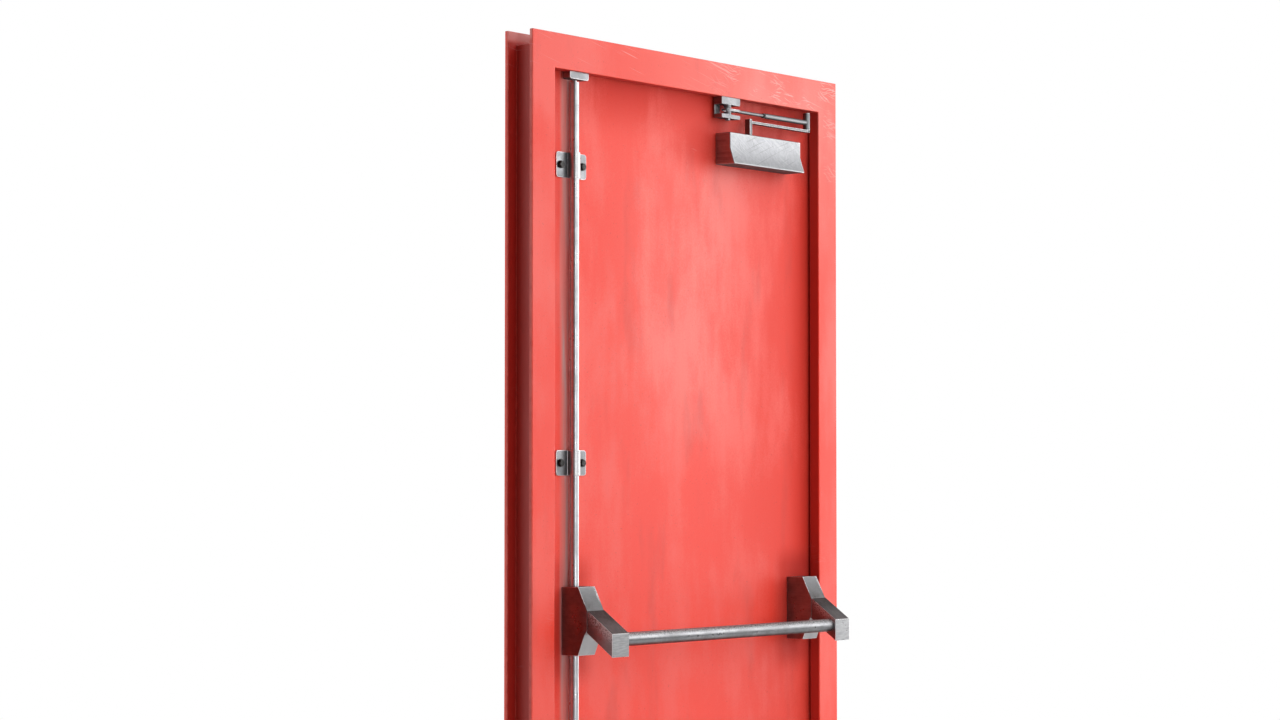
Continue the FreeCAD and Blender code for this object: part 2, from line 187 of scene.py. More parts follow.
def mix_colour(share, first, second):
    """The first colour where the share is 0, the second where it is 1."""
    links = {"Factor_Float": share, "A_Color": first, "B_Color": second}
    return share.node("ShaderNodeMix", {"data_type": "RGBA"}, links, "Result_Color")


def noise(place, scale=1.0, detail=2.0, stretch=(1.0, 1.0, 1.0), shift=(0.0, 0.0, 0.0)):
    """Noise from 0 to 1. A larger stretch squeezes the pattern along that axis."""
    where = place.node("ShaderNodeMapping", {}, {"Vector": place, "Scale": stretch, "Location": shift})
    links = {"Vector": where, "Scale": scale, "Detail": detail}
    return place.node("ShaderNodeTexNoise", {}, links)


WHITE = rgb(1, 1, 1)
print("white is", WHITE)

# %% [markdown]
# ## Stage and light
#
# The door stands in a plain white studio. The main light is a low soft box far to the right, which skims
# the leaf and leaves the right jamb's shadow on it. Wide soft boxes in front and overhead fill the rest,
# and put a soft shadow under the head. The left side stays dim, which keeps the reveals deep red. Camera
# rays see a plain white world, and so do glossy rays that look towards the backdrop, so the white
# background needs no extra light on the door.

# %% World
STUDIO_LEVEL = 0.10
BACKDROP_LEVEL = 1.3
# The backdrop fills the directions behind the door, up to some way above the horizon.
BEHIND_DOOR = (-0.1, 0.5)
BELOW_CEILING = (0.75, 0.15)

world = bpy.data.worlds.new("studio")
scene.world = world
world.use_nodes = True
world.node_tree.nodes.clear()
sky = Wire(world.node_tree)
direction = sky.node("ShaderNodeTexCoord", out="Generated")
backdrop = direction.axis("Y").smooth(*BEHIND_DOOR) * direction.axis("Z").smooth(*BELOW_CEILING)
is_camera = sky.node("ShaderNodeLightPath", out="Is Camera Ray")
is_glossy = sky.node("ShaderNodeLightPath", out="Is Glossy Ray")
is_transmission = sky.node("ShaderNodeLightPath", out="Is Transmission Ray")
seen = is_camera.larger(is_glossy * backdrop).larger(is_transmission)
lit = STUDIO_LEVEL + backdrop * (BACKDROP_LEVEL - STUDIO_LEVEL)
level = sky.node("ShaderNodeMix", {"data_type": "FLOAT"},
                 {"Factor_Float": seen, "A_Float": lit, "B_Float": 1.0}, "Result_Float")
background = sky.node("ShaderNodeBackground", {}, {"Color": WHITE, "Strength": level})
sky.node("ShaderNodeOutputWorld", {}, {"Surface": background})
print("world nodes:", len(world.node_tree.nodes))

# %% Soft lights
DOOR_MIDDLE = Vector((0.0, 0.0, 1.15))
STUDIO_RADIUS = 4.5
SOFTBOXES = [
    # name, turn and rise in degrees, width, height, brightness
    ("right_low", 78, 0, 2.4, 2.2, 3.6),
    ("right_front", 53, 13, 2.6, 2.4, 2.4),
    ("front_high", 40, 50, 4.2, 2.2, 2.4),
    ("front_middle", 20, 25, 6.0, 2.2, 1.3),
    ("front_low", -8, 0, 5.6, 2.0, 1.0),
    ("front_strip", -28, 5, 0.7, 2.6, 3.0),
    ("back_light", 219, 14, 2.5, 2.5, 1.0),
]


def softbox(name, turn, rise, width, height, brightness):
    """A rectangle of light aimed at the door. Turn is its angle to the right of straight ahead, rise its
    angle above the door's middle, and brightness 1 looks white in a mirror."""
    turn = math.radians(turn)
    rise = math.radians(rise)
    data = bpy.data.lights.new(name, "AREA")
    data.shape = "RECTANGLE"
    data.size = width
    data.size_y = height
    data.energy = brightness * math.pi * width * height
    lamp = bpy.data.objects.new(name, data)
    away = Vector((math.cos(rise) * math.sin(turn), -math.cos(rise) * math.cos(turn), math.sin(rise)))
    lamp.location = DOOR_MIDDLE + STUDIO_RADIUS * away
    lamp.rotation_euler = (-away).to_track_quat("-Z", "Y").to_euler()
    lamp.visible_camera = False
    scene.collection.objects.link(lamp)


for light in SOFTBOXES:
    softbox(*light)

# %% [markdown]
# ## The floor
#
# A real studio floor is a white roll that curves up behind the subject. Here it is a flat disc: near the
# door it is a plain pale surface that takes the shadow, and towards its rim it fades to the same white
# that the camera sees in the world, so no edge shows from any side.

# %% Floor
FLOOR_RADIUS = 3.4
FLOOR_FADE = (1.2, FLOOR_RADIUS * 0.95)
FLOOR_SIDES = 96
FLOOR_WHITE = rgb(0.86, 0.86, 0.86)


def start_material(name):
    """An empty material, and the Object coordinates that its patterns are laid out on."""
    material = bpy.data.materials.new(name)
    material.use_nodes = True
    material.node_tree.nodes.clear()
    return material, Wire(material.node_tree).node("ShaderNodeTexCoord", out="Object")


def floor_material():
    material, place = start_material("studio_floor")
    distance = place.node("ShaderNodeVectorMath", {"operation": "LENGTH"}, {0: place}, "Value")
    plain = place.node("ShaderNodeBsdfDiffuse", {}, {"Color": FLOOR_WHITE})
    white = place.node("ShaderNodeEmission", {}, {"Color": WHITE, "Strength": 1.0})
    camera_ray = place.node("ShaderNodeLightPath", out="Is Camera Ray")
    glossy_ray = place.node("ShaderNodeLightPath", out="Is Glossy Ray")
    fade = distance.smooth(*FLOOR_FADE) * camera_ray.larger(glossy_ray)
    surface = place.node("ShaderNodeMixShader", {}, {0: fade, 1: plain, 2: white})
    place.node("ShaderNodeOutputMaterial", {}, {"Surface": surface})
    return material


floor_mesh = bpy.data.meshes.new("floor")
disc = bmesh.new()
bmesh.ops.create_circle(disc, cap_ends=True, segments=FLOOR_SIDES, radius=FLOOR_RADIUS)
disc.to_mesh(floor_mesh)
disc.free()
floor_mesh.materials.append(floor_material())
floor = bpy.data.objects.new("floor", floor_mesh)
floor.location.z = cad_box[0].z
scene.collection.objects.link(floor)
print("floor radius:", FLOOR_RADIUS)

# %% [markdown]
# ## Scratches and rubbed edges
#
# Paint and steel both show long use by their scratches and their edges. A scratch could be drawn line by
# line, but the crests of a noise that is drawn out along one direction give hundreds at once. Edges are
# rubbed where the mesh itself says so: each eased piece carries an attribute that is 1 on its edges, and
# noise makes the border of the worn strip ragged.

# %% Shared helpers for the finishes
EDGE_WEAR = "edge_wear"
LEVEL_DIRT_AND_SHADE = "settled_dirt"
SCRATCH_SOFTNESS = 0.08
WEAR_RAGGEDNESS = 0.9


def close_material(place, height, strength, distance, shader_links):
    """Joins a bump of the given height and the Principled shader to the material's output."""
    bump = {"Height": height, "Strength": strength, "Distance": distance}
    normal = place.node("ShaderNodeBump", {}, bump)
    shader = place.node("ShaderNodeBsdfPrincipled", {}, {"Normal": normal, **shader_links})
    place.node("ShaderNodeOutputMaterial", {}, {"Surface": shader})


def attribute(place, name):
    """A value that the mesh itself carries."""
    return place.node("ShaderNodeAttribute", {"attribute_name": name}, {}, "Fac")


def scratch_lines(place, spacing, turn, length, shift, rare):
    """Thin scratches of one direction in the plane of the door: the crests of a drawn-out noise."""
    where = place.node("ShaderNodeMapping", {"vector_type": "TEXTURE"}, {
        "Vector": place, "Rotation": (0.0, turn, 0.0), "Scale": (length, length, spacing),
        "Location": shift})
    field = place.node("ShaderNodeTexNoise", {}, {"Vector": where, "Scale": 1.0, "Detail": 0.0})
    return field.smooth(rare, rare + SCRATCH_SOFTNESS)


def crossing_scratches(place, spacing, directions):
    """Scratches of several directions, each given by its turn, length, shift and rarity."""
    lines = scratch_lines(place, spacing, *directions[0])
    for direction in directions[1:]:
        lines = lines.larger(scratch_lines(place, spacing, *direction))
    return lines


def rubbed_edges(place, scale, step):
    """The share of an edge that is rubbed bare, from the mesh's own wear attribute and noise."""
    ragged = noise(place, scale, detail=3.0) * WEAR_RAGGEDNESS
    return (attribute(place, EDGE_WEAR) + ragged - WEAR_RAGGEDNESS / 2).smooth(*step)


print("attributes that the finishes read:", EDGE_WEAR, LEVEL_DIRT_AND_SHADE)

# %% [markdown]
# ## Scratches in the paint
#
# The frame's upper hinge corner is covered with fine pale arcs, and long grazes run along the head. Such
# arcs aren't straight, so their coordinates are first bent by a coarse swirl of noise. Masks by height
# and by place across the door then keep them where they belong, and let a few stray lines through
# anywhere else.

# %% Paint scratches
HEAD_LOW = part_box("front_casing_head")[0].z
JAMB_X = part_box("back_casing_right")[0].x
ON_HEAD = (HEAD_LOW - 0.005, HEAD_LOW + 0.015)
HINGE_HALF = (0.00, 0.22)
UPPER_JAMB = (HEAD_LOW - 0.235, HEAD_LOW - 0.085)
ON_JAMB = (JAMB_X - 0.001, JAMB_X + 0.005)
JAMB_SHARE = 0.45
SWIRL_SCALE = 26.0
SWIRL_REACH = (0.022, 0.022, 0.022)
ARC_SPACING = 0.0020
ARC_DIRECTIONS = [
    # turn, length, shift of the pattern, rarity
    (0.18, 0.040, (0.0, 0.0, 0.0), 0.66),
    (-0.12, 0.040, (5.0, 3.0, 1.0), 0.68),
    (0.45, 0.040, (2.0, 6.0, 3.0), 0.68),
]
ARC_PATCHES = (0.46, 0.62)
STRAY_PATCHES = (0.66, 0.80)
STRAY_SHARE = 0.2
GRAZE_SPACING = 0.0022
GRAZE_DIRECTION = (0.20, 0.140, (1.0, 4.0, 2.0), 0.68)
GRAZE_PATCHES = (0.36, 0.56)
GRAZE_SHARE = 0.6


def paint_scratches(place):
    """Fine pale arcs at the frame's upper hinge corner, rare anywhere else, and grazes along the head."""
    swirl = place.node("ShaderNodeTexNoise", {},
                       {"Vector": place, "Scale": SWIRL_SCALE, "Detail": 0.0}, "Color")
    bent = place.node("ShaderNodeVectorMath", {"operation": "MULTIPLY_ADD"},
                      {0: swirl, 1: SWIRL_REACH, 2: place})
    lines = crossing_scratches(bent, ARC_SPACING, ARC_DIRECTIONS)
    across = place.axis("X")
    height_up = place.axis("Z")
    on_head = height_up.smooth(*ON_HEAD)
    on_jamb = height_up.smooth(*UPPER_JAMB) * across.smooth(*ON_JAMB) * JAMB_SHARE
    corner = (on_head * across.smooth(*HINGE_HALF)).larger(on_jamb)
    patchy = noise(place, scale=15.0, detail=3.0, stretch=(1.0, 1.0, 1.6), shift=(4.0, 0.0, 2.0))
    stray = patchy.smooth(*STRAY_PATCHES) * STRAY_SHARE
    arcs = lines * (patchy.smooth(*ARC_PATCHES) * corner).larger(stray)
    grazes = scratch_lines(place, GRAZE_SPACING, *GRAZE_DIRECTION)
    return arcs.larger(grazes * on_head * patchy.smooth(*GRAZE_PATCHES) * GRAZE_SHARE)


print("scratches lie above", round(ON_HEAD[0], 3), "and on the jamb from x", round(ON_JAMB[0], 3))

# %% [markdown]
# ## Painted shade on the leaf
#
# Painted shade darkens the leaf where the frame and the fittings shade it: towards the hinges, under the
# head, beside the closer and round the cases of the push bar. Each of these is a soft step across the
# door or up it, placed by the boxes of the pieces, so the painted shade would follow them if they moved.
# Patches where the paint is dulled hold less of it.

# %% Leaf painted shade
def middle_of(node):
    """The middle of a construction piece's box."""
    low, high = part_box(node)
    return (low + high) / 2


closer_low, closer_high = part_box("closer_body")
CLOSER_Z = middle_of("closer_body").z
LEAF_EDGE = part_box("leaf_front_pan")[1].x
HINGE_SIDE_SHADE = (LEAF_EDGE - 0.466, LEAF_EDGE - 0.046)
HINGE_SIDE_SHADE_SHARE = 0.20
LEAF_EDGE_SHADE = (LEAF_EDGE - 0.106, LEAF_EDGE - 0.001)
LEAF_EDGE_SHADE_SHARE = 0.22
UNDER_HEAD = (HEAD_LOW - 0.125, HEAD_LOW - 0.005)
UNDER_HEAD_SHADE_SHARE = 0.45
CLOSER_SIDE = (closer_low.x - 0.26, closer_low.x + 0.04)
CLOSER_UP = (CLOSER_Z - 0.07, CLOSER_Z)
CLOSER_SHADE_SHARE = 0.45
SHADE_SCALE = 1.15
SHADE_LESS_ON_PATCHES = 0.5
CASE_ASIDE = (0.085, 0.030)
CASE_ABOVE = (0.135, 0.085)
CASE_SHADE_SHARE = 0.40


def leaf_painted_shade(place, patches):
    """Painted shade on the leaf: towards its hinges, under the head, beside the closer, round the cases."""
    across = place.axis("X")
    height_up = place.axis("Z")
    hinge_side = across.smooth(*HINGE_SIDE_SHADE) * HINGE_SIDE_SHADE_SHARE
    hinge_side = hinge_side + across.smooth(*LEAF_EDGE_SHADE) * LEAF_EDGE_SHADE_SHARE
    under_head = height_up.smooth(*UNDER_HEAD) * UNDER_HEAD_SHADE_SHARE
    beside_closer = across.smooth(*CLOSER_SIDE) * height_up.smooth(*CLOSER_UP) * CLOSER_SHADE_SHARE
    painted_shade = hinge_side + under_head.larger(beside_closer)
    painted_shade = painted_shade * (SHADE_SCALE - SHADE_LESS_ON_PATCHES * patches)
    for case in ("left_case", "right_case"):
        middle = middle_of(case)
        aside = abs(across - middle.x).smooth(*CASE_ASIDE)
        painted_shade = painted_shade + aside * abs(height_up - middle.z).smooth(*CASE_ABOVE) * CASE_SHADE_SHARE
    return painted_shade


print("closer's middle at height", round(CLOSER_Z, 4))

# %% [markdown]
# ## Red enamel
#
# The frame and the leaf are sprayed with a semi-gloss red enamel that has been in use for years. The
# gloss has dulled in broad patches that break up along short upright strokes, with a fine grain all over.
# The middle of the leaf and the frame's upper hinge corner are the palest, painted shade makes the rebate
# and the wall channel the darkest, and a painted reflection lies in grey beside each rod. Every mask is
# noise or a step on the object's own coordinates, so the pattern is fixed to the steel and needs no image.

# %% Brushed patches
PATCH_STEP = (0.40, 0.64)
PATCH_BRUSHED = 0.22
PATCH_GRAINY = 0.12


def brushed_patches(place, grain):
    """Patches of dulled gloss that break up along short upright strokes."""
    strokes = noise(place, detail=4.0, stretch=(46.0, 46.0, 9.0), shift=(2.0, 0.0, 1.0)) - NOISE_MIDDLE
    broken = noise(place, detail=6.0, stretch=(5.6, 5.6, 3.4), shift=(1.41, 0.0, 0.49))
    return (broken + strokes * PATCH_BRUSHED + grain * PATCH_GRAINY).smooth(*PATCH_STEP)


print("patches grow over the noise from", PATCH_STEP[0], "to", PATCH_STEP[1])

# %% Where the red is paler
PALE_X = -0.02
PALE_Z = 1.66
PALE_ASIDE = (0.30, 0.08)
PALE_ABOVE = (0.42, 0.12)
LEAF_HAZE = 0.55
PALE_HAZE = 0.18
CORNER_UP = (1.60, 2.06)
CORNER_ACROSS = (-0.50, 0.15)
FRAME_HAZE = 0.65
CORNER_HAZE = 0.70


def pale_share(place, hazed, recess, on_leaf):
    """How pale the red is: in its dulled patches, and most in the leaf's middle and at the frame's upper
    hinge corner.
    """
    if on_leaf:
        middle = abs(place.axis("X") - PALE_X).smooth(*PALE_ASIDE)
        middle = middle * abs(place.axis("Z") - PALE_Z).smooth(*PALE_ABOVE)
        hazed = hazed * (LEAF_HAZE + LEAF_HAZE * middle) + middle * PALE_HAZE
    if recess:
        corner = place.axis("Z").smooth(*CORNER_UP) * place.axis("X").smooth(*CORNER_ACROSS)
        hazed = hazed * FRAME_HAZE + corner * CORNER_HAZE
    return hazed


print("palest part of the leaf at", (PALE_X, PALE_Z))

# %% Recesses and rods
# Dark red for grime and specks in the paint, and for painted shade in the recesses and on the leaf.
RED_GRIME_AND_SHADE = rgb(0.42, 0.020, 0.013)
# A greyed red: the painted reflection beside the rods, and the paler top of the open channel.
GREYED_RED = rgb(0.54, 0.36, 0.34)
FRAME_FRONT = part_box("front_casing_head")[0].y
FRAME_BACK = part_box("back_casing_head")[1].y
HEAD_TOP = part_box("head_rail")[1].z
ROD_X = middle_of("top_rod").x
PAST_FRONT = (FRAME_FRONT + 0.0005, FRAME_FRONT + 0.004)
BEFORE_BACK = (FRAME_BACK - 0.002, FRAME_BACK - 0.007)
ABOVE_RAIL = (HEAD_TOP, HEAD_TOP + 0.012)
SHADE_LESS_ABOVE_RAIL = 0.75
RAIL_PALE_SHARE = 0.5
REFLECTION_BESIDE_ROD = 0.015
REFLECTION_REACH = (0.020, 0.004)
REFLECTION_SHARE = 0.40
REFLECTION_STREAKS = 0.5


def recess_painted_shade(place, colour, recess):
    """Painted shade in the frame's rebate and wall channel, less of it where the channel is open on top, and
    a paler grey there.
    """
    depth = place.axis("Y")
    inside = depth.smooth(*PAST_FRONT) * depth.smooth(*BEFORE_BACK)
    open_top = place.axis("Z").smooth(*ABOVE_RAIL)
    colour = mix_colour(inside * (recess - SHADE_LESS_ABOVE_RAIL * open_top), colour, RED_GRIME_AND_SHADE)
    return mix_colour(inside * open_top * RAIL_PALE_SHARE, colour, GREYED_RED)


def rod_painted_reflection(place, colour, streaks):
    """A painted reflection of each rod: a grey band on the leaf just beside it."""
    rod_line = abs(place.axis("X") - (ROD_X - REFLECTION_BESIDE_ROD)).smooth(*REFLECTION_REACH)
    return mix_colour(rod_line * (REFLECTION_SHARE + REFLECTION_STREAKS * streaks), colour, GREYED_RED)


print("rods at x", round(ROD_X, 4))

# %% Red enamel
RED = rgb(0.93, 0.036, 0.012)
RED_PALE = rgb(0.93, 0.165, 0.130)
RED_RUBBED = rgb(0.92, 0.13, 0.09)
SCRATCH_PALE = rgb(0.93, 0.66, 0.62)
PATCH_HAZE = 0.42
STREAK_HAZE = 0.08
GRAIN_HAZE = 0.30
STREAK_STEP = (0.38, 0.72)
CLOUD_STEP = (0.35, 0.7)
GRIME_STEP = (0.54, 0.74)
GRIME_SHARE = 0.22
SPECK_STEP = (0.70, 0.78)
SPECK_SHARE = 0.30
PAINT_RUBBED_STEP = (0.70, 1.15)
PAINT_RUBBED_SHARE = 0.30
SCRATCH_SHARE = 0.42
ENAMEL_ROUGHNESS = 0.47
ROUGH_LESS_BY_PATCHES = 0.08
ROUGH_MORE_BY_CLOUDS = 0.06
ROUGH_MORE_BY_STREAKS = 0.04
ROUGH_MORE_BY_PAINTED_SHADE = 0.5
PEEL_HEIGHT = 0.5
STREAK_HEIGHT = 0.3
SCRATCH_DEPTH = 0.6
RECESS_SHADE_SHARE = 0.85


def red_enamel(name, recess=0.0, on_leaf=False):
    """Recess is the share of painted shade in the frame's rebate and wall channel. On the leaf the red is
    paler in its middle, darkened by painted shade towards its borders and round the fittings, with a
    painted reflection in grey beside each rod."""
    material, place = start_material(name)
    streaks = noise(place, detail=5.0, stretch=(75.0, 75.0, 5.0), shift=(3.1, 0.0, 0.0)).smooth(*STREAK_STEP)
    clouds = noise(place, scale=2.2, detail=3.0, stretch=(1.0, 1.0, 0.5), shift=(7.3, 1.0, 0.4))
    clouds = clouds.smooth(*CLOUD_STEP)
    grime = noise(place, detail=4.0, stretch=(13.0, 13.0, 4.0), shift=(1.7, 2.0, 5.0)).smooth(*GRIME_STEP)
    specks = noise(place, scale=260.0, detail=1.0).smooth(*SPECK_STEP)
    grain = noise(place, scale=330.0, detail=3.0) - NOISE_MIDDLE
    patches = brushed_patches(place, grain)
    hazed = patches * PATCH_HAZE + streaks * STREAK_HAZE + grain * GRAIN_HAZE
    colour = mix_colour(pale_share(place, hazed, recess, on_leaf), RED, RED_PALE)
    colour = mix_colour(grime * GRIME_SHARE + specks * SPECK_SHARE, colour, RED_GRIME_AND_SHADE)
    rough = ENAMEL_ROUGHNESS - ROUGH_LESS_BY_PATCHES * patches
    rough = rough + ROUGH_MORE_BY_CLOUDS * clouds + ROUGH_MORE_BY_STREAKS * streaks
    if recess:
        # Painted shade in the rebate and the wall channel.
        colour = recess_painted_shade(place, colour, recess)
    if on_leaf:
        # Painted shade where the frame and the fittings shade the leaf, and a painted reflection beside each
        # rod.
        painted_shade = leaf_painted_shade(place, patches)
        colour = mix_colour(painted_shade, colour, RED_GRIME_AND_SHADE)
        colour = rod_painted_reflection(place, colour, streaks)
        rough = rough + ROUGH_MORE_BY_PAINTED_SHADE * painted_shade
    rubbed = rubbed_edges(place, scale=60.0, step=PAINT_RUBBED_STEP)
    colour = mix_colour(rubbed * PAINT_RUBBED_SHARE, colour, RED_RUBBED)
    lines = paint_scratches(place)
    colour = mix_colour(lines * SCRATCH_SHARE, colour, SCRATCH_PALE)
    orange_peel = noise(place, scale=420.0) * PEEL_HEIGHT + streaks * STREAK_HEIGHT - lines * SCRATCH_DEPTH
    close_material(place, orange_peel, strength=0.05, distance=0.002, shader_links={
        "Base Color": colour, "Roughness": rough, "Specular IOR Level": 0.5})
    return material


frame_paint = red_enamel("frame_red_enamel", recess=RECESS_SHADE_SHARE)
leaf_paint = red_enamel("leaf_red_enamel", on_leaf=True)
back_paint = red_enamel("back_red_enamel")
print("enamel nodes:", len(leaf_paint.node_tree.nodes))

# %% [markdown]
# ## Worn steel
#
# The fittings are bare steel, once brushed, now hazy with handling. Bare metal is mostly reflection, so
# its character lies in the roughness: cloudy smudges, fine scratches in many directions, and edges
# polished bright. The base colour lies between two greys, chosen for each kind of piece, and the bright
# faces come from the soft light. Level faces are darker: grime lies on the upper ones and painted shade
# on the undersides, and a second attribute of the mesh tells which they are.

# %% Smudges, haze, grime and painted shade
STEEL_EDGE = rgb(0.66, 0.66, 0.67)
STEEL_DARK = rgb(0.034, 0.027, 0.025)
SMUDGE_STEP = (0.33, 0.68)
HAZE_STEP = (0.2, 0.8)
BRUSHED_STEP = (0.35, 0.7)
DIRT_AND_SHADE_STEP = (0.45, 0.85)
STEEL_RUBBED_STEP = (0.50, 1.00)
USUAL_SMUDGES = 0.6
HAZE_CLEAR = 0.60
HAZE_COVERED = 0.5
BRUSHED_CLEAR = 0.15
UNSMUDGED_CLEAR = 0.3
DIRT_AND_SHADE_HAZED = 0.15
DIRT_AND_SHADE_SHARE = 0.9


def grey(level):
    """The slightly blue grey of bare steel."""
    return rgb(level, level * 1.01, level * 1.05)


def handled_steel(place, dull, clear, smudged):
    """The patterns of bare steel between two greys, with its colour, grime on upper faces, painted shade on
    undersides, and polished edges.
    """
    smudges = noise(place, scale=26.0, detail=6.0, shift=(0.4, 2.0, 1.0)).smooth(*SMUDGE_STEP)
    haze = noise(place, scale=150.0, detail=4.0).smooth(*HAZE_STEP)
    brushed = noise(place, detail=3.0, stretch=(60.0, 60.0, 700.0), shift=(1.0, 5.0, 2.0))
    brushed = brushed.smooth(*BRUSHED_STEP)
    level = attribute(place, LEVEL_DIRT_AND_SHADE)
    dirt_and_shade = level.smooth(*DIRT_AND_SHADE_STEP) * (1.0 - DIRT_AND_SHADE_HAZED + DIRT_AND_SHADE_HAZED * haze)
    clear_share = smudges * smudged + haze * (HAZE_CLEAR - HAZE_COVERED * smudged)
    clear_share = clear_share + brushed * BRUSHED_CLEAR + (USUAL_SMUDGES - smudged) * UNSMUDGED_CLEAR
    colour = mix_colour(clear_share, grey(dull), grey(clear))
    # Grime on the upper faces, and painted shade on the undersides.
    colour = mix_colour(dirt_and_shade * DIRT_AND_SHADE_SHARE, colour, STEEL_DARK)
    polished = rubbed_edges(place, scale=160.0, step=STEEL_RUBBED_STEP)
    return SimpleNamespace(place=place, smudges=smudges, haze=haze, brushed=brushed, level=level,
                           colour=colour, dirt_and_shade=dirt_and_shade, polished=polished)


print("a middle grey:", [round(value, 3) for value in grey(0.4)])

# %% Worn steel
BRIGHT_SPACING = 0.0024
DARK_SPACING = 0.0028
# Each direction of scratches has a turn, a length, a shift of the pattern and a rarity.
BRIGHT_DIRECTIONS = [(0.5, 0.080, (2.0, 0.0, 0.0), 0.66), (-0.9, 0.064, (0.0, 4.0, 1.0), 0.68)]
DARK_DIRECTIONS = [(-0.35, 0.096, (3.0, 1.0, 0.0), 0.66), (1.1, 0.064, (1.0, 2.0, 5.0), 0.68)]
USUAL_SCRATCHES = 0.06
BRIGHT_TO_DARK = 0.5
PROUD_BRUSHED = 0.2
POLISH_SHARE = 0.85
STEEL_ROUGHNESS = 0.36
SMUDGES_SHINE = 0.20
HAZE_DULLS = 0.10
POLISH_SHINES = 0.06
DIRT_AND_SHADE_DULLS = 0.26
DIRT_AND_SHADE_HIDES_METAL = 0.85


def worn_steel(name, dull, clear, smudged=USUAL_SMUDGES, scratched=USUAL_SCRATCHES, proud=None, marks=None):
    """Bare steel between two greys, hazy where it is dull. Proud gives the depths between which a piece
    that stands out of the door is rubbed clear, and how much. Marks adds those of one kind of piece."""
    material, place = start_material(name)
    look = handled_steel(place, dull, clear, smudged)
    if proud:
        first, last, share = proud
        rubbed = place.axis("Y").smooth(first, last) * (share + PROUD_BRUSHED * look.brushed)
        look.colour = mix_colour(rubbed, look.colour, STEEL_EDGE)
    bright = crossing_scratches(place, BRIGHT_SPACING, BRIGHT_DIRECTIONS)
    look.colour = mix_colour(bright * (scratched * BRIGHT_TO_DARK), look.colour, STEEL_EDGE)
    dark = crossing_scratches(place, DARK_SPACING, DARK_DIRECTIONS)
    look.colour = mix_colour(dark * scratched, look.colour, STEEL_DARK)
    if marks:
        marks(look)
    colour = mix_colour(look.polished * POLISH_SHARE, look.colour, STEEL_EDGE)
    rough = STEEL_ROUGHNESS - SMUDGES_SHINE * smudged * look.smudges + HAZE_DULLS * look.haze
    rough = rough - POLISH_SHINES * look.polished + DIRT_AND_SHADE_DULLS * look.dirt_and_shade
    metal = 1.0 - DIRT_AND_SHADE_HIDES_METAL * look.dirt_and_shade * (1.0 - look.polished)
    close_material(place, look.haze, strength=0.03, distance=0.001, shader_links={
        "Base Color": colour, "Roughness": rough, "Metallic": metal, "Specular IOR Level": 0.15})
    return material


steel = worn_steel("worn_steel", dull=0.30, clear=0.44)
print("steel nodes:", len(steel.node_tree.nodes))

# %% Steel of the closer, the rods and the guides
LEAF_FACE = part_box("leaf_front_pan")[0].y
JAMB_END = (closer_high.x - 0.012, closer_high.x - 0.004)
OTHER_EDGES = 0.3
LINK_SMUDGES = 0.4
GUIDE_SADDLE = (LEAF_FACE - 0.007, LEAF_FACE - 0.013, 0.85)


def closer_marks(look):
    """The closer's edges are polished bright along the end beside the jamb, which also paints a highlight
    there, and only here and there on its other edges.
    """
    jamb_end = look.place.axis("X").smooth(*JAMB_END)
    look.polished = look.polished * (OTHER_EDGES + (1.0 - OTHER_EDGES) * jamb_end)


closer_steel = worn_steel("closer_steel", dull=0.24, clear=0.36, smudged=0.15, scratched=0.22,
                          marks=closer_marks)
rod_steel = worn_steel("rod_steel", dull=0.46, clear=0.64)
guide_steel = worn_steel("guide_steel", dull=0.175, clear=0.265, proud=GUIDE_SADDLE)
link_steel = worn_steel("link_steel", dull=0.16, clear=0.27, smudged=LINK_SMUDGES)
spindle_steel = worn_steel("spindle_steel", dull=0.11, clear=0.18, smudged=LINK_SMUDGES)
print("guides are rubbed clear beyond depth", round(GUIDE_SADDLE[1], 4))

# %% [markdown]
# ## Marks of handling on the push bar
#
# The push bar is the part that hands, hips and trolleys meet. The cases are darker just above the arms,
# their lower sloping faces carry a painted sheen, and their edges towards the hinges have specks of wear
# that also serve as a painted highlight. The arms are scuffed along their upper edges and rubbed clear
# at their ends, and the bar is scuffed along its top, where the specks also serve as a painted highlight.
# The arms swing inside the cases, so no bright wear is left where the two meet.

# %% Marks on the cases
case_low, case_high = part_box("left_case")
far_case_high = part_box("right_case")[1]
CASE_Z = middle_of("left_case").z
SLOPING = (0.08, 0.20)
SEAM_HEIGHT = 0.028
UPPER_DARK_FROM = (0.0, 0.01)
UPPER_DARK_TO = (0.080, 0.030)
UPPER_DARK_SHARE = 0.40
UPPER_DARK_SMUDGED = 0.5
BELOW_MIDDLE = (0.0, -0.01)
BELOW_PAINTED_SHEEN = 0.42
LEFT_HALF = (0.0, -0.1)
EDGE_SPECKS_FROM = 0.008
EDGE_SPECKS_TO = 0.001
EDGE_SPECKS_ABOVE = (SEAM_HEIGHT, SEAM_HEIGHT + 0.02)
WEAR_AND_HIGHLIGHT_SHARE = 0.8
OFF_SEAM = (SEAM_HEIGHT, SEAM_HEIGHT + 0.008)
SPECKLE_STEP = (0.36, 0.62)


def speckle(place):
    """Fine specks, as of steel that is struck again and again."""
    return noise(place, scale=420.0, detail=3.0).smooth(*SPECKLE_STEP)


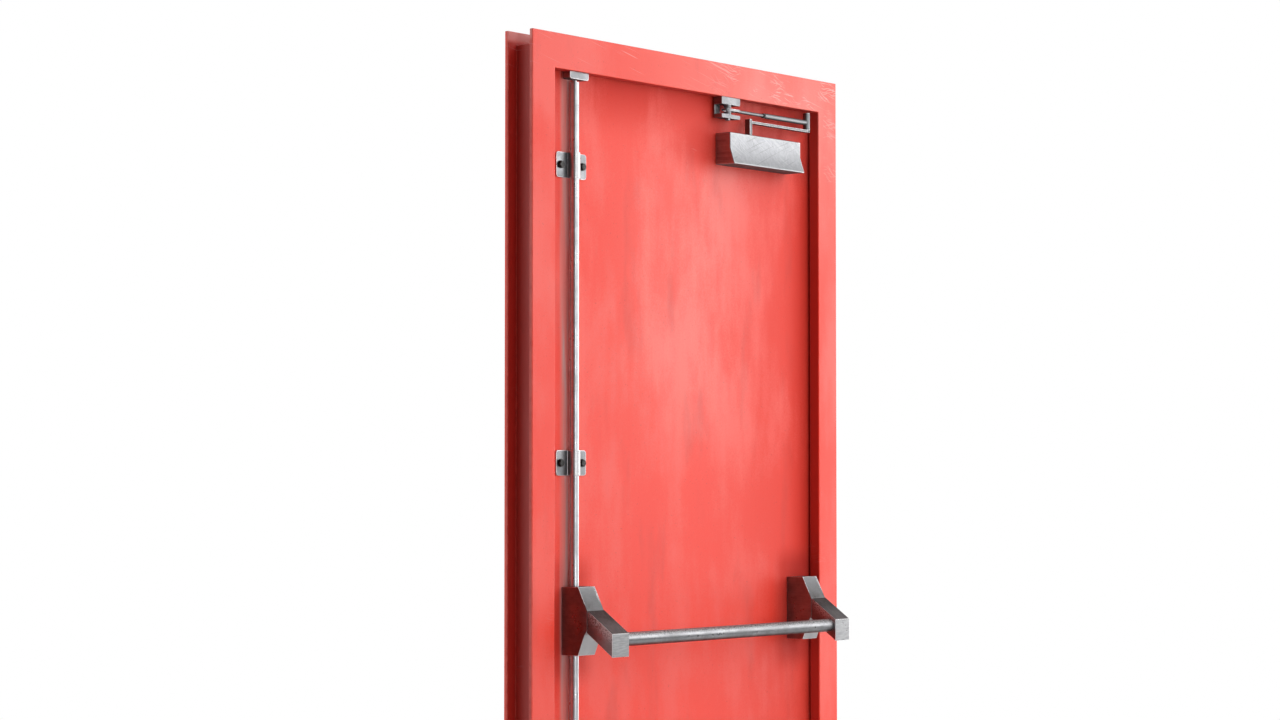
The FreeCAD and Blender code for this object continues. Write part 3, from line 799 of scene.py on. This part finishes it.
def case_marks(look):
    """Darker just above the arms, a painted sheen on the lower sloping faces, and specks of wear with a
    painted highlight on the edges towards the hinges.
    """
    above = look.place.axis("Z") - CASE_Z
    across = look.place.axis("X")
    sloping = look.level.smooth(*SLOPING)
    upper_darkening = sloping * above.smooth(*UPPER_DARK_FROM) * above.smooth(*UPPER_DARK_TO)
    upper_darkening = upper_darkening * (UPPER_DARK_SHARE + UPPER_DARK_SMUDGED * look.smudges)
    colour = mix_colour(upper_darkening, look.colour, STEEL_DARK)
    # Painted sheen: the lower sloping faces are lighter all over.
    colour = mix_colour(sloping * above.smooth(*BELOW_MIDDLE) * BELOW_PAINTED_SHEEN, colour, STEEL_EDGE)
    left_edge = across.smooth(case_high.x - EDGE_SPECKS_FROM, case_high.x - EDGE_SPECKS_TO) * across.smooth(*LEFT_HALF)
    right_edge = across.smooth(far_case_high.x - EDGE_SPECKS_FROM, far_case_high.x - EDGE_SPECKS_TO)
    # Specks of wear along the edges towards the hinges, which also paint a highlight there.
    worn_and_highlit = left_edge.larger(right_edge) * speckle(look.place) * sloping * above.smooth(*EDGE_SPECKS_ABOVE)
    look.colour = mix_colour(worn_and_highlit * WEAR_AND_HIGHLIGHT_SHARE, colour, STEEL_EDGE)
    look.polished = look.polished * abs(above).smooth(*OFF_SEAM)


case_steel = worn_steel("case_steel", dull=0.155, clear=0.265, marks=case_marks)
print("case steel nodes:", len(case_steel.node_tree.nodes))

# %% Marks on the bar
BAR_Z = middle_of("crossbar").z
BAR_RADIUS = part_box("crossbar")[1].z - BAR_Z
BAR_TOP = (0.1 * BAR_RADIUS, 0.6 * BAR_RADIUS)
BAR_SCUFF_AND_HIGHLIGHT_SHARE = 0.65
BAR_SCUFF_DIRT = 0.7
BAR_DIRT_AND_SHADE_LEFT = 0.2


def bar_marks(look):
    """The top of the bar is scuffed in specks, which also give it a painted highlight."""
    scuffed = (look.place.axis("Z") - BAR_Z).smooth(*BAR_TOP) * speckle(look.place)
    # Pale specks along the top: scuffs and a painted highlight.
    look.colour = mix_colour(scuffed * BAR_SCUFF_AND_HIGHLIGHT_SHARE, look.colour, STEEL_EDGE)
    look.dirt_and_shade = (look.dirt_and_shade * BAR_DIRT_AND_SHADE_LEFT).larger(scuffed * BAR_SCUFF_DIRT)


bar_steel = worn_steel("bar_steel", dull=0.18, clear=0.29, marks=bar_marks)
print("bar's middle at height", round(BAR_Z, 4), "radius", round(BAR_RADIUS, 4))

# %% Marks on the arms
ARM_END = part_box("left_arm")[0].y
CASE_Y = middle_of("left_case").y
FACING_UP = 0.5
UPRIGHT = (0.3, 0.1)
BELOW_TOP = (0.022, 0.001)
SCUFFED_ALONG = (0.05, 0.6)
OFF_END_FACE = (ARM_END + 0.0006, ARM_END + 0.0020)
ARM_SCUFF_SHARE = 0.6
ARM_SCUFF_DIRT = 0.8
OUTER_HALF = (0.5, 1.0)
OUTER_CLEAR = 0.10
PAST_CASE = (case_low.y - 0.004, case_low.y - 0.016)
END_FACE = (ARM_END + 0.0015, ARM_END + 0.0003, 0.20)


def arm_top():
    """The direction and the distance of the arm's sloping upper face."""
    mesh = frame["nodes"]["left_arm"].data
    upper = [face for face in mesh.polygons if face.normal.z > FACING_UP]
    largest = max(upper, key=lambda face: face.area)
    return largest.normal.copy(), largest.normal.dot(largest.center)


TOP_NORMAL, TOP_OFFSET = arm_top()


def arm_marks(look):
    """The arm's sides are scuffed below its sloping top, and its outer half is rubbed clear."""
    along_normal = look.place.node("ShaderNodeVectorMath", {"operation": "DOT_PRODUCT"},
                                   {0: look.place, 1: TOP_NORMAL}, "Value")
    below = TOP_OFFSET - along_normal
    depth = look.place.axis("Y")
    outwards = depth.smooth(CASE_Y, ARM_END)
    scuffed = look.level.smooth(*UPRIGHT) * below.smooth(*BELOW_TOP) * speckle(look.place)
    scuffed = scuffed * outwards.smooth(*SCUFFED_ALONG) * depth.smooth(*OFF_END_FACE)
    clear = scuffed * ARM_SCUFF_SHARE + outwards.smooth(*OUTER_HALF) * OUTER_CLEAR
    look.colour = mix_colour(clear, look.colour, STEEL_EDGE)
    look.polished = look.polished * depth.smooth(*PAST_CASE)
    look.dirt_and_shade = look.dirt_and_shade.larger(scuffed * ARM_SCUFF_DIRT)


arm_steel = worn_steel("arm_steel", dull=0.11, clear=0.19, proud=END_FACE, marks=arm_marks)
print("arm top:", [round(value, 3) for value in TOP_NORMAL], "offset", round(TOP_OFFSET, 4))

# %% [markdown]
# ## Blackened steel and the leaf's filling
#
# Bolts and pins are blackened, a thin oxide that stays dark and slightly oily. The filling inside the
# leaf is a mineral fibre board: it never shows, but it is part of the door and has its own plain look.

# %% Blackened steel and fibre board
BLACK_OXIDE = rgb(0.028, 0.027, 0.026)
BLACK_RUBBED = rgb(0.16, 0.155, 0.15)
BLACK_STEP = (0.4, 0.75)
BLACK_RUBBED_SHARE = 0.5
BLACK_ROUGHNESS = 0.38
RUBBED_ROUGHNESS = 0.2
FIBRE_PALE = rgb(0.62, 0.55, 0.40)
FIBRE_DARK = rgb(0.42, 0.36, 0.25)
FIBRE_STEP = (0.3, 0.7)
BOARD_ROUGHNESS = 0.85
FIBRE_ROUGHNESS = 0.1


def blackened_steel(name):
    material, place = start_material(name)
    patches = noise(place, scale=320.0, detail=4.0).smooth(*BLACK_STEP)
    colour = mix_colour(patches * BLACK_RUBBED_SHARE, BLACK_OXIDE, BLACK_RUBBED)
    close_material(place, patches, strength=0.1, distance=0.0005, shader_links={
        "Base Color": colour, "Roughness": BLACK_ROUGHNESS + RUBBED_ROUGHNESS * patches, "Metallic": 0.85})
    return material


def fibre_board(name):
    material, place = start_material(name)
    fibres = noise(place, detail=6.0, stretch=(300.0, 40.0, 120.0)).smooth(*FIBRE_STEP)
    colour = mix_colour(fibres, FIBRE_DARK, FIBRE_PALE)
    close_material(place, fibres, strength=0.4, distance=0.002, shader_links={
        "Base Color": colour, "Roughness": BOARD_ROUGHNESS + FIBRE_ROUGHNESS * fibres})
    return material


black_steel = blackened_steel("blackened_steel")
board = fibre_board("fibre_board")
print("materials:", len(bpy.data.materials))

# %% [markdown]
# ## Easing the edges
#
# No steel edge is perfectly sharp, and in a picture the thin bright line along an edge is what makes it
# look real. Each piece starts from its construction mesh: the loose triangles are merged, flat faces are
# joined again, and every sharp edge gets a small round. A narrow border is then drawn inside each face,
# so that the wear attribute can fall from 1 on the edge to 0 inside it.

# %% Whole faces and their groups
MERGE_DISTANCE = 1e-5
FLAT_ANGLE = math.radians(0.5)


def merged_mesh(node):
    """A copy of a construction mesh with its triangles merged into whole faces."""
    body = bmesh.new()
    body.from_mesh(frame["nodes"][node].data)
    bmesh.ops.remove_doubles(body, verts=body.verts, dist=MERGE_DISTANCE)
    bmesh.ops.dissolve_limit(body, angle_limit=FLAT_ANGLE, verts=body.verts, edges=body.edges)
    return body


def face_groups(faces):
    """Groups of faces that meet along edges, such as all the facets of a round bar."""
    waiting = set(faces)
    groups = []
    while waiting:
        group = [waiting.pop()]
        for face in group:
            for edge in face.edges:
                joined = waiting.intersection(edge.link_faces)
                waiting -= joined
                group.extend(joined)
        groups.append(group)
    return groups


def group_width(group):
    """The width of a strip that has the group's area and the length of its outline."""
    inside = set(group)
    outline = [edge for face in group for edge in face.edges
               if not inside.issuperset(edge.link_faces)]
    length = sum(edge.calc_length() for edge in outline)
    return 2 * sum(face.calc_area() for face in group) / max(length, MERGE_DISTANCE)


sample = merged_mesh("left_case")
print("left case:", len(frame["nodes"]["left_case"].data.polygons), "triangles,", len(sample.faces), "faces")
sample.free()

# %% Eased edges
SHARP_ANGLE = math.radians(25.0)
ROUND_SEGMENTS = 3
ROUND_PROFILE = 0.5
BROAD_IN_BORDERS = 2.2


def ease_edges(body, radius, border):
    """Rounds the sharp edges and writes the wear attribute, 1 on edges and 0 inside the faces."""
    bmesh.ops.recalc_face_normals(body, faces=body.faces)
    sharp = [edge for edge in body.edges
             if len(edge.link_faces) == 2 and edge.calc_face_angle() > SHARP_ANGLE]
    rounded = bmesh.ops.bevel(body, geom=sharp, offset=radius, segments=ROUND_SEGMENTS,
                              profile=ROUND_PROFILE, affect="EDGES", clamp_overlap=True)["faces"]
    edges = set(rounded)
    groups = face_groups(face for face in body.faces if face not in edges)
    broad = [face for group in groups if group_width(group) > BROAD_IN_BORDERS * border for face in group]
    bmesh.ops.inset_region(body, faces=broad, thickness=border,
                           use_boundary=True, use_even_offset=True)
    write_wear(body, broad)


def write_wear(body, broad):
    """The two attributes that the finishes read: how near an edge is, and how level the face lies."""
    wear = body.verts.layers.float.new(EDGE_WEAR)
    for vertex in body.verts:
        vertex[wear] = 1.0
    for face in broad:
        for vertex in face.verts:
            vertex[wear] = 0.0
    body.normal_update()
    # How level a face lies: upper faces take grime from it, and undersides painted shade.
    level_layer = body.verts.layers.float.new(LEVEL_DIRT_AND_SHADE)
    for vertex in body.verts:
        vertex[level_layer] = abs(vertex.normal.z)


print("edges sharper than", round(math.degrees(SHARP_ANGLE)), "degrees are rounded")

# %% Pieces of the door
SMOOTH_ANGLE = math.radians(40.0)


def make_plain(piece):
    """Applies a piece's modifiers and leaves a plain mesh."""
    graph = bpy.context.evaluated_depsgraph_get()
    plain = bpy.data.meshes.new_from_object(piece.evaluated_get(graph), depsgraph=graph)
    piece.modifiers.clear()
    old = piece.data
    piece.data = plain
    bpy.data.meshes.remove(old)
    plain.name = piece.name


def smooth_mesh(name, body, angle):
    """Turns a bmesh into a mesh that is shaded smooth up to an angle."""
    bmesh.ops.recalc_face_normals(body, faces=body.faces)
    mesh = bpy.data.meshes.new(name)
    body.to_mesh(mesh)
    body.free()
    mesh.shade_smooth()
    mesh.set_sharp_from_angle(angle=angle)
    return mesh


def add_piece(name, body, material, carrier, stands_for=()):
    """Turns a mesh into a piece that rides on a body of the door."""
    mesh = smooth_mesh(name, body, SMOOTH_ANGLE)
    mesh.materials.append(material)
    piece = bpy.data.objects.new(name, mesh)
    scene.collection.objects.link(piece)
    weighted = piece.modifiers.new("weighted_normals", "WEIGHTED_NORMAL")
    weighted.keep_sharp = True
    make_plain(piece)
    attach(piece, carrier)
    if stands_for:
        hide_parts(*stands_for)
    return piece


print("shaded smooth up to", round(math.degrees(SMOOTH_ANGLE)), "degrees")

# %% [markdown]
# ## The frame
#
# The real frame is welded from a box post, flat casings and a stop, ground flush and painted as one, so
# no seam shows at the mitres. Drawing its section once and carrying it up one side, across the head and
# down the other gives a single clean piece. The section's sizes are read from the construction.

# %% Frame
FRAME_NODES = [node for node in frame["nodes"] if node.endswith("_post") or node == "head_rail"
               or node.startswith(("front_casing", "back_casing", "stop_"))]
FRAME_EDGE_RADIUS = 0.0012
FRAME_EDGE_BORDER = 0.0035


def solid_of_rings(rings):
    """A closed mesh through rings that have the same number of points, with a face at each end."""
    body = bmesh.new()
    loops = [[body.verts.new(point) for point in ring] for ring in rings]
    for loop, following in zip(loops, loops[1:]):
        for index in range(len(loop)):
            after = (index + 1) % len(loop)
            body.faces.new((loop[index], loop[after], following[after], following[index]))
    body.faces.new(loops[0])
    body.faces.new(loops[-1])
    return body


def frame_section():
    """The frame's section: distance inwards from its outer edge, and depth through the wall."""
    front_low, front_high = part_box("front_casing_left")
    back_low, back_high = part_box("back_casing_left")
    outer = front_low.x
    face = front_high.x - outer
    rebate = back_high.x - outer
    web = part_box("left_post")[0].x - outer
    stop_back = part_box("stop_left")[1].y
    return [(0, front_low.y), (face, front_low.y), (face, stop_back), (rebate, stop_back),
            (rebate, back_high.y), (0, back_high.y), (0, back_low.y), (web, back_low.y),
            (web, front_high.y), (0, front_high.y)]


def swept_frame():
    """The section carried up the left side, across the head and down the right side."""
    half = cad_box[1].x
    foot = cad_box[0].z
    top = cad_box[1].z
    # Outer corners, and the way inwards from each.
    corners = [((-half, foot), (1, 0)), ((-half, top), (1, -1)),
               ((half, top), (-1, -1)), ((half, foot), (-1, 0))]
    section = frame_section()
    return solid_of_rings([
        [(x + inset * inwards_x, depth, z + inset * inwards_z) for inset, depth in section]
        for (x, z), (inwards_x, inwards_z) in corners])


frame_body = swept_frame()
ease_edges(frame_body, FRAME_EDGE_RADIUS, FRAME_EDGE_BORDER)
frame_piece = add_piece("door_frame", frame_body, frame_paint, "frame", FRAME_NODES)
print("frame faces:", len(frame_piece.data.polygons), "stands for", len(FRAME_NODES), "nodes")

# %% [markdown]
# ## Leaf, fittings and hinges
#
# The other rigid pieces keep their construction shape and only get eased edges. A table gives each kind
# of piece its edge radius, the width of its worn border and its finish. Folded sheet has tight edges,
# and so have the small fittings, so that their wear stays a thin bright line.

# %% Pieces with eased edges
EASED = [
    # names start with, edge radius, worn border, material, slot
    (("leaf_front_pan",), 0.0006, 0.0030, leaf_paint, "red_paint"),
    (("leaf_back_sheet",), 0.0006, 0.0030, back_paint, "red_paint"),
    (("left_case", "right_case"), 0.0006, 0.0010, case_steel, "worn_steel"),
    (("left_arm", "right_arm"), 0.0006, 0.0012, arm_steel, "worn_steel"),
    (("rod_guide",), 0.0007, 0.0014, guide_steel, "worn_steel"),
    (("head_keep", "floor_keep"), 0.0007, 0.0014, link_steel, "worn_steel"),
    (("closer_spindle", "closer_main_arm"), 0.0006, 0.0013, spindle_steel, "worn_steel"),
    (("closer_shoe",), 0.0004, 0.0004, link_steel, "worn_steel"),
    (("elbow_post", "forearm"), 0.0005, 0.0012, link_steel, "worn_steel"),
    (("top_rod", "bottom_rod"), 0.0005, 0.0015, rod_steel, "worn_steel"),
    (("crossbar",), 0.0005, 0.0015, bar_steel, "worn_steel"),
    (("frame_hinge", "leaf_hinge", "threshold"), 0.0005, 0.0012, steel, "worn_steel"),
    (("left_pivot_pin", "right_pivot_pin"), 0.0005, 0.0010, black_steel, "dark_steel"),
]
body_of_node = {node: body for body, nodes in frame["record"]["behaviour"]["bodies"].items()
                for node in nodes}
for starts, radius, border, material, slot in EASED:
    for node in sorted(name for name in frame["nodes"] if name.startswith(starts)):
        mesh_body = merged_mesh(node)
        ease_edges(mesh_body, radius, border)
        add_piece(node + "_eased", mesh_body, material, body_of_node[node], [node])

# %% [markdown]
# ## The closer's body
#
# The body of the closer is a casting whose front leans out below its middle. Its edges are rounder than
# those of the other fittings, and a large round needs clean long faces, so its section is drawn again
# from the construction's own points and carried from end to end. The filling of the leaf stays hidden
# and keeps its construction mesh, with the look of its board.

# %% Closer body and filling
CLOSER_FOLD_BAND = 0.004
CLOSER_EDGE_RADIUS = 0.0020
CLOSER_EDGE_BORDER = 0.0026


def closer_block():
    """The closer's body drawn again as a prism: its front face leans out below the middle."""
    near_middle = [vertex.co.y for vertex in frame["nodes"]["closer_body"].data.vertices
                   if abs(vertex.co.z - CLOSER_Z) < CLOSER_FOLD_BAND]
    back = closer_high.y
    upper = max(depth for depth in near_middle if depth < back - CLOSER_FOLD_BAND)
    section = [(back, closer_high.z), (upper, closer_high.z), (upper, CLOSER_Z),
               (closer_low.y, closer_low.z), (back, closer_low.z)]
    return solid_of_rings([[(x, y, z) for y, z in section] for x in (closer_low.x, closer_high.x)])


closer_mesh = closer_block()
ease_edges(closer_mesh, CLOSER_EDGE_RADIUS, CLOSER_EDGE_BORDER)
closer = add_piece("closer_body_eased", closer_mesh, closer_steel, "leaf", ["closer_body"])
filling = frame["nodes"]["leaf_infill"]
filling.data.materials.clear()
filling.data.materials.append(board)
print("closer faces:", len(closer.data.polygons))

# %% [markdown]
# ## Bolts and screws
#
# Each rod guide is held by two black hexagon bolts and each hinge plate by three countersunk screws.
# One head of each kind is drawn from rings of points, and Geometry Nodes puts a copy on every place in
# a list, each turned by a random angle, as a fitter would leave it. The tree's last steps make the
# copies real and give them their finish, so that the result is one plain mesh for each body.

# %% Fastener heads
BOLT_FLATS = 0.0125
BOLT_HEIGHT = 0.0052
BOLT_CHAMFER = 0.0008
BOLT_CROWN_RADIUS = BOLT_FLATS * 0.46
WASHER_RADIUS = BOLT_FLATS * 0.60
WASHER_HEIGHT = 0.0010
SCREW_RADIUS = 0.0045
SCREW_HEIGHT = 0.0009
SCREW_RIM_HEIGHT = SCREW_HEIGHT * 0.4
SCREW_CROWN_RADIUS = SCREW_RADIUS * 0.84
SOCKET_FLATS = SCREW_RADIUS * 0.9
SOCKET_FLOOR = SCREW_HEIGHT * 0.2
RING_POINTS = 36
HEAD_SMOOTH_ANGLE = math.radians(30.0)


def circle(radius):
    return lambda angle: radius


def hexagon(flats):
    sector = math.radians(60.0)
    return lambda angle: flats / 2 / math.cos(angle % sector - sector / 2)


def turned_head(name, rings):
    """A closed mesh of rings. A ring is a distance along -Y and its radius at any angle."""
    angles = [2 * math.pi * step / RING_POINTS for step in range(RING_POINTS)]
    body = solid_of_rings([
        [(radius(angle) * math.cos(angle), -distance, radius(angle) * math.sin(angle)) for angle in angles]
        for distance, radius in rings])
    return bpy.data.objects.new(name, smooth_mesh(name, body, HEAD_SMOOTH_ANGLE))


bolt_head = turned_head("bolt_head", [
    (0.0, circle(WASHER_RADIUS)), (WASHER_HEIGHT, circle(WASHER_RADIUS)),
    (WASHER_HEIGHT, hexagon(BOLT_FLATS)), (BOLT_HEIGHT - BOLT_CHAMFER, hexagon(BOLT_FLATS)),
    (BOLT_HEIGHT, circle(BOLT_CROWN_RADIUS))])
screw_head = turned_head("screw_head", [
    (0.0, circle(SCREW_RADIUS)), (SCREW_RIM_HEIGHT, circle(SCREW_RADIUS)),
    (SCREW_HEIGHT, circle(SCREW_CROWN_RADIUS)), (SCREW_HEIGHT, hexagon(SOCKET_FLATS)),
    (SOCKET_FLOOR, hexagon(SOCKET_FLATS))])
print("faces of a bolt and a screw:", len(bolt_head.data.polygons), len(screw_head.data.polygons))

# %% Fasteners by Geometry Nodes
FASTENER_INPUTS = (("Places", "NodeSocketGeometry"), ("Head", "NodeSocketObject"),
                   ("Facing", "NodeSocketFloat"), ("Largest Turn", "NodeSocketFloat"),
                   ("Seed", "NodeSocketInt"), ("Finish", "NodeSocketMaterial"))
FASTENER_SEED = 7


def fastener_tree():
    """A tree that puts a head on every point, and the identifiers of its inputs."""
    tree = bpy.data.node_groups.new("fasteners", "GeometryNodeTree")
    keys = {label: tree.interface.new_socket(label, in_out="INPUT", socket_type=kind).identifier
            for label, kind in FASTENER_INPUTS}
    tree.interface.new_socket("Fasteners", in_out="OUTPUT", socket_type="NodeSocketGeometry")
    entry = tree.nodes.new("NodeGroupInput")
    given = {label: Wire(tree, entry.outputs[label]) for label in keys}
    start = given["Places"]
    head = start.node("GeometryNodeObjectInfo", {}, {"Object": given["Head"]}, "Geometry")
    turn = start.node("FunctionNodeRandomValue", {"data_type": "FLOAT"}, {
        "Max_001": given["Largest Turn"], "Seed": given["Seed"]}, "Value_001")
    rotation = start.node("ShaderNodeCombineXYZ", {}, {"Y": turn, "Z": given["Facing"]})
    copies = start.node("GeometryNodeInstanceOnPoints", {}, {
        "Points": start, "Instance": head, "Rotation": rotation})
    solid = start.node("GeometryNodeRealizeInstances", {}, {"Geometry": copies})
    finished = start.node("GeometryNodeSetMaterial", {}, {
        "Geometry": solid, "Material": given["Finish"]})
    start.node("NodeGroupOutput", {}, {0: finished})
    return tree, keys


def fasten(name, places, head, facing, carrier, finish):
    """Puts a copy of a head on every place, as one piece that rides on a body of the door."""
    mesh = bpy.data.meshes.new(name)
    mesh.from_pydata(places, [], [])
    piece = bpy.data.objects.new(name, mesh)
    scene.collection.objects.link(piece)
    tree, keys = fastener_tree()
    modifier = piece.modifiers.new("fasteners", "NODES")
    modifier.node_group = tree
    values = {"Head": head, "Facing": facing, "Largest Turn": math.pi,
              "Seed": FASTENER_SEED, "Finish": finish}
    for label, value in values.items():
        modifier[keys[label]] = value
    make_plain(piece)
    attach(piece, carrier)
    print(name, "faces:", len(piece.data.polygons))


print("tree inputs:", [label for label, kind in FASTENER_INPUTS])

# %% Bolts on the guides
BOLT_SPREAD = 0.0325
GUIDE_PLATE = 0.003
FACING_FRONT = 0.0

bolt_places = []
for guide in sorted(node for node in frame["nodes"] if node.startswith("rod_guide")):
    middle = middle_of(guide)
    for side in (-1, 1):
        bolt_places.append((middle.x + side * BOLT_SPREAD, LEAF_FACE - GUIDE_PLATE, middle.z))
fasten("guide_bolts", bolt_places, bolt_head, FACING_FRONT, "leaf", black_steel)

# %% Screws on the hinges
HINGE_PLATE = 0.0025
SCREW_ROWS = (-0.036, 0.0, 0.036)
SCREW_SHIFT = (0.0, 0.007, 0.0)
SCREW_LINE = 0.36
FACING_BACK = math.pi


def hinge_screws(kind, knuckle_side):
    """Three screws on each hinge plate of a kind, set out in a shallow zigzag."""
    places = []
    for level in ("bottom", "middle", "top"):
        low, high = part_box(kind + "_hinge_" + level)
        edge = low.x if knuckle_side < 0 else high.x
        plate_end = high.x if knuckle_side < 0 else low.x
        middle_x = plate_end + (edge - plate_end) * SCREW_LINE
        middle_z = (low.z + high.z) / 2
        for row, shift in zip(SCREW_ROWS, SCREW_SHIFT):
            places.append((middle_x + knuckle_side * shift, low.y + HINGE_PLATE, middle_z + row))
    return places


fasten("frame_hinge_screws", hinge_screws("frame", -1), screw_head, FACING_BACK, "frame",
       steel)
fasten("leaf_hinge_screws", hinge_screws("leaf", 1), screw_head, FACING_BACK, "leaf",
       steel)

# %% [markdown]
# ## The forearm's lock nut
#
# A dark nut locks the thin threaded rod where it enters the forearm's tube. It is one more head of
# rings, laid along the arm by a turn and a move of its points, so that the piece itself stays at the
# origin. The three heads that served as patterns are then removed.

# %% Lock nut
NUT_FLATS = 0.0086
NUT_LENGTH = 0.0050
NUT_END_RADIUS = NUT_FLATS * 0.47
NUT_CHAMFER = NUT_LENGTH * 0.15

tube_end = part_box("forearm_tube")[0].x
tube_middle = middle_of("forearm_tube")
nut = turned_head("nut_shape", [
    (0.0, circle(NUT_END_RADIUS)), (NUT_CHAMFER, hexagon(NUT_FLATS)),
    (NUT_LENGTH - NUT_CHAMFER, hexagon(NUT_FLATS)), (NUT_LENGTH, circle(NUT_END_RADIUS))])
nut_body = bmesh.new()
nut_body.from_mesh(nut.data)
along_arm = Matrix.Rotation(math.radians(-90.0), 4, "Z")
to_tube = Matrix.Translation((tube_end, tube_middle.y, tube_middle.z))
bmesh.ops.transform(nut_body, matrix=to_tube @ along_arm, verts=nut_body.verts)
add_piece("forearm_lock_nut", nut_body, black_steel, "closer_forearm")
for pattern in (bolt_head, screw_head, nut):
    bpy.data.objects.remove(pattern)
print("nut at x", round(tube_end, 4))
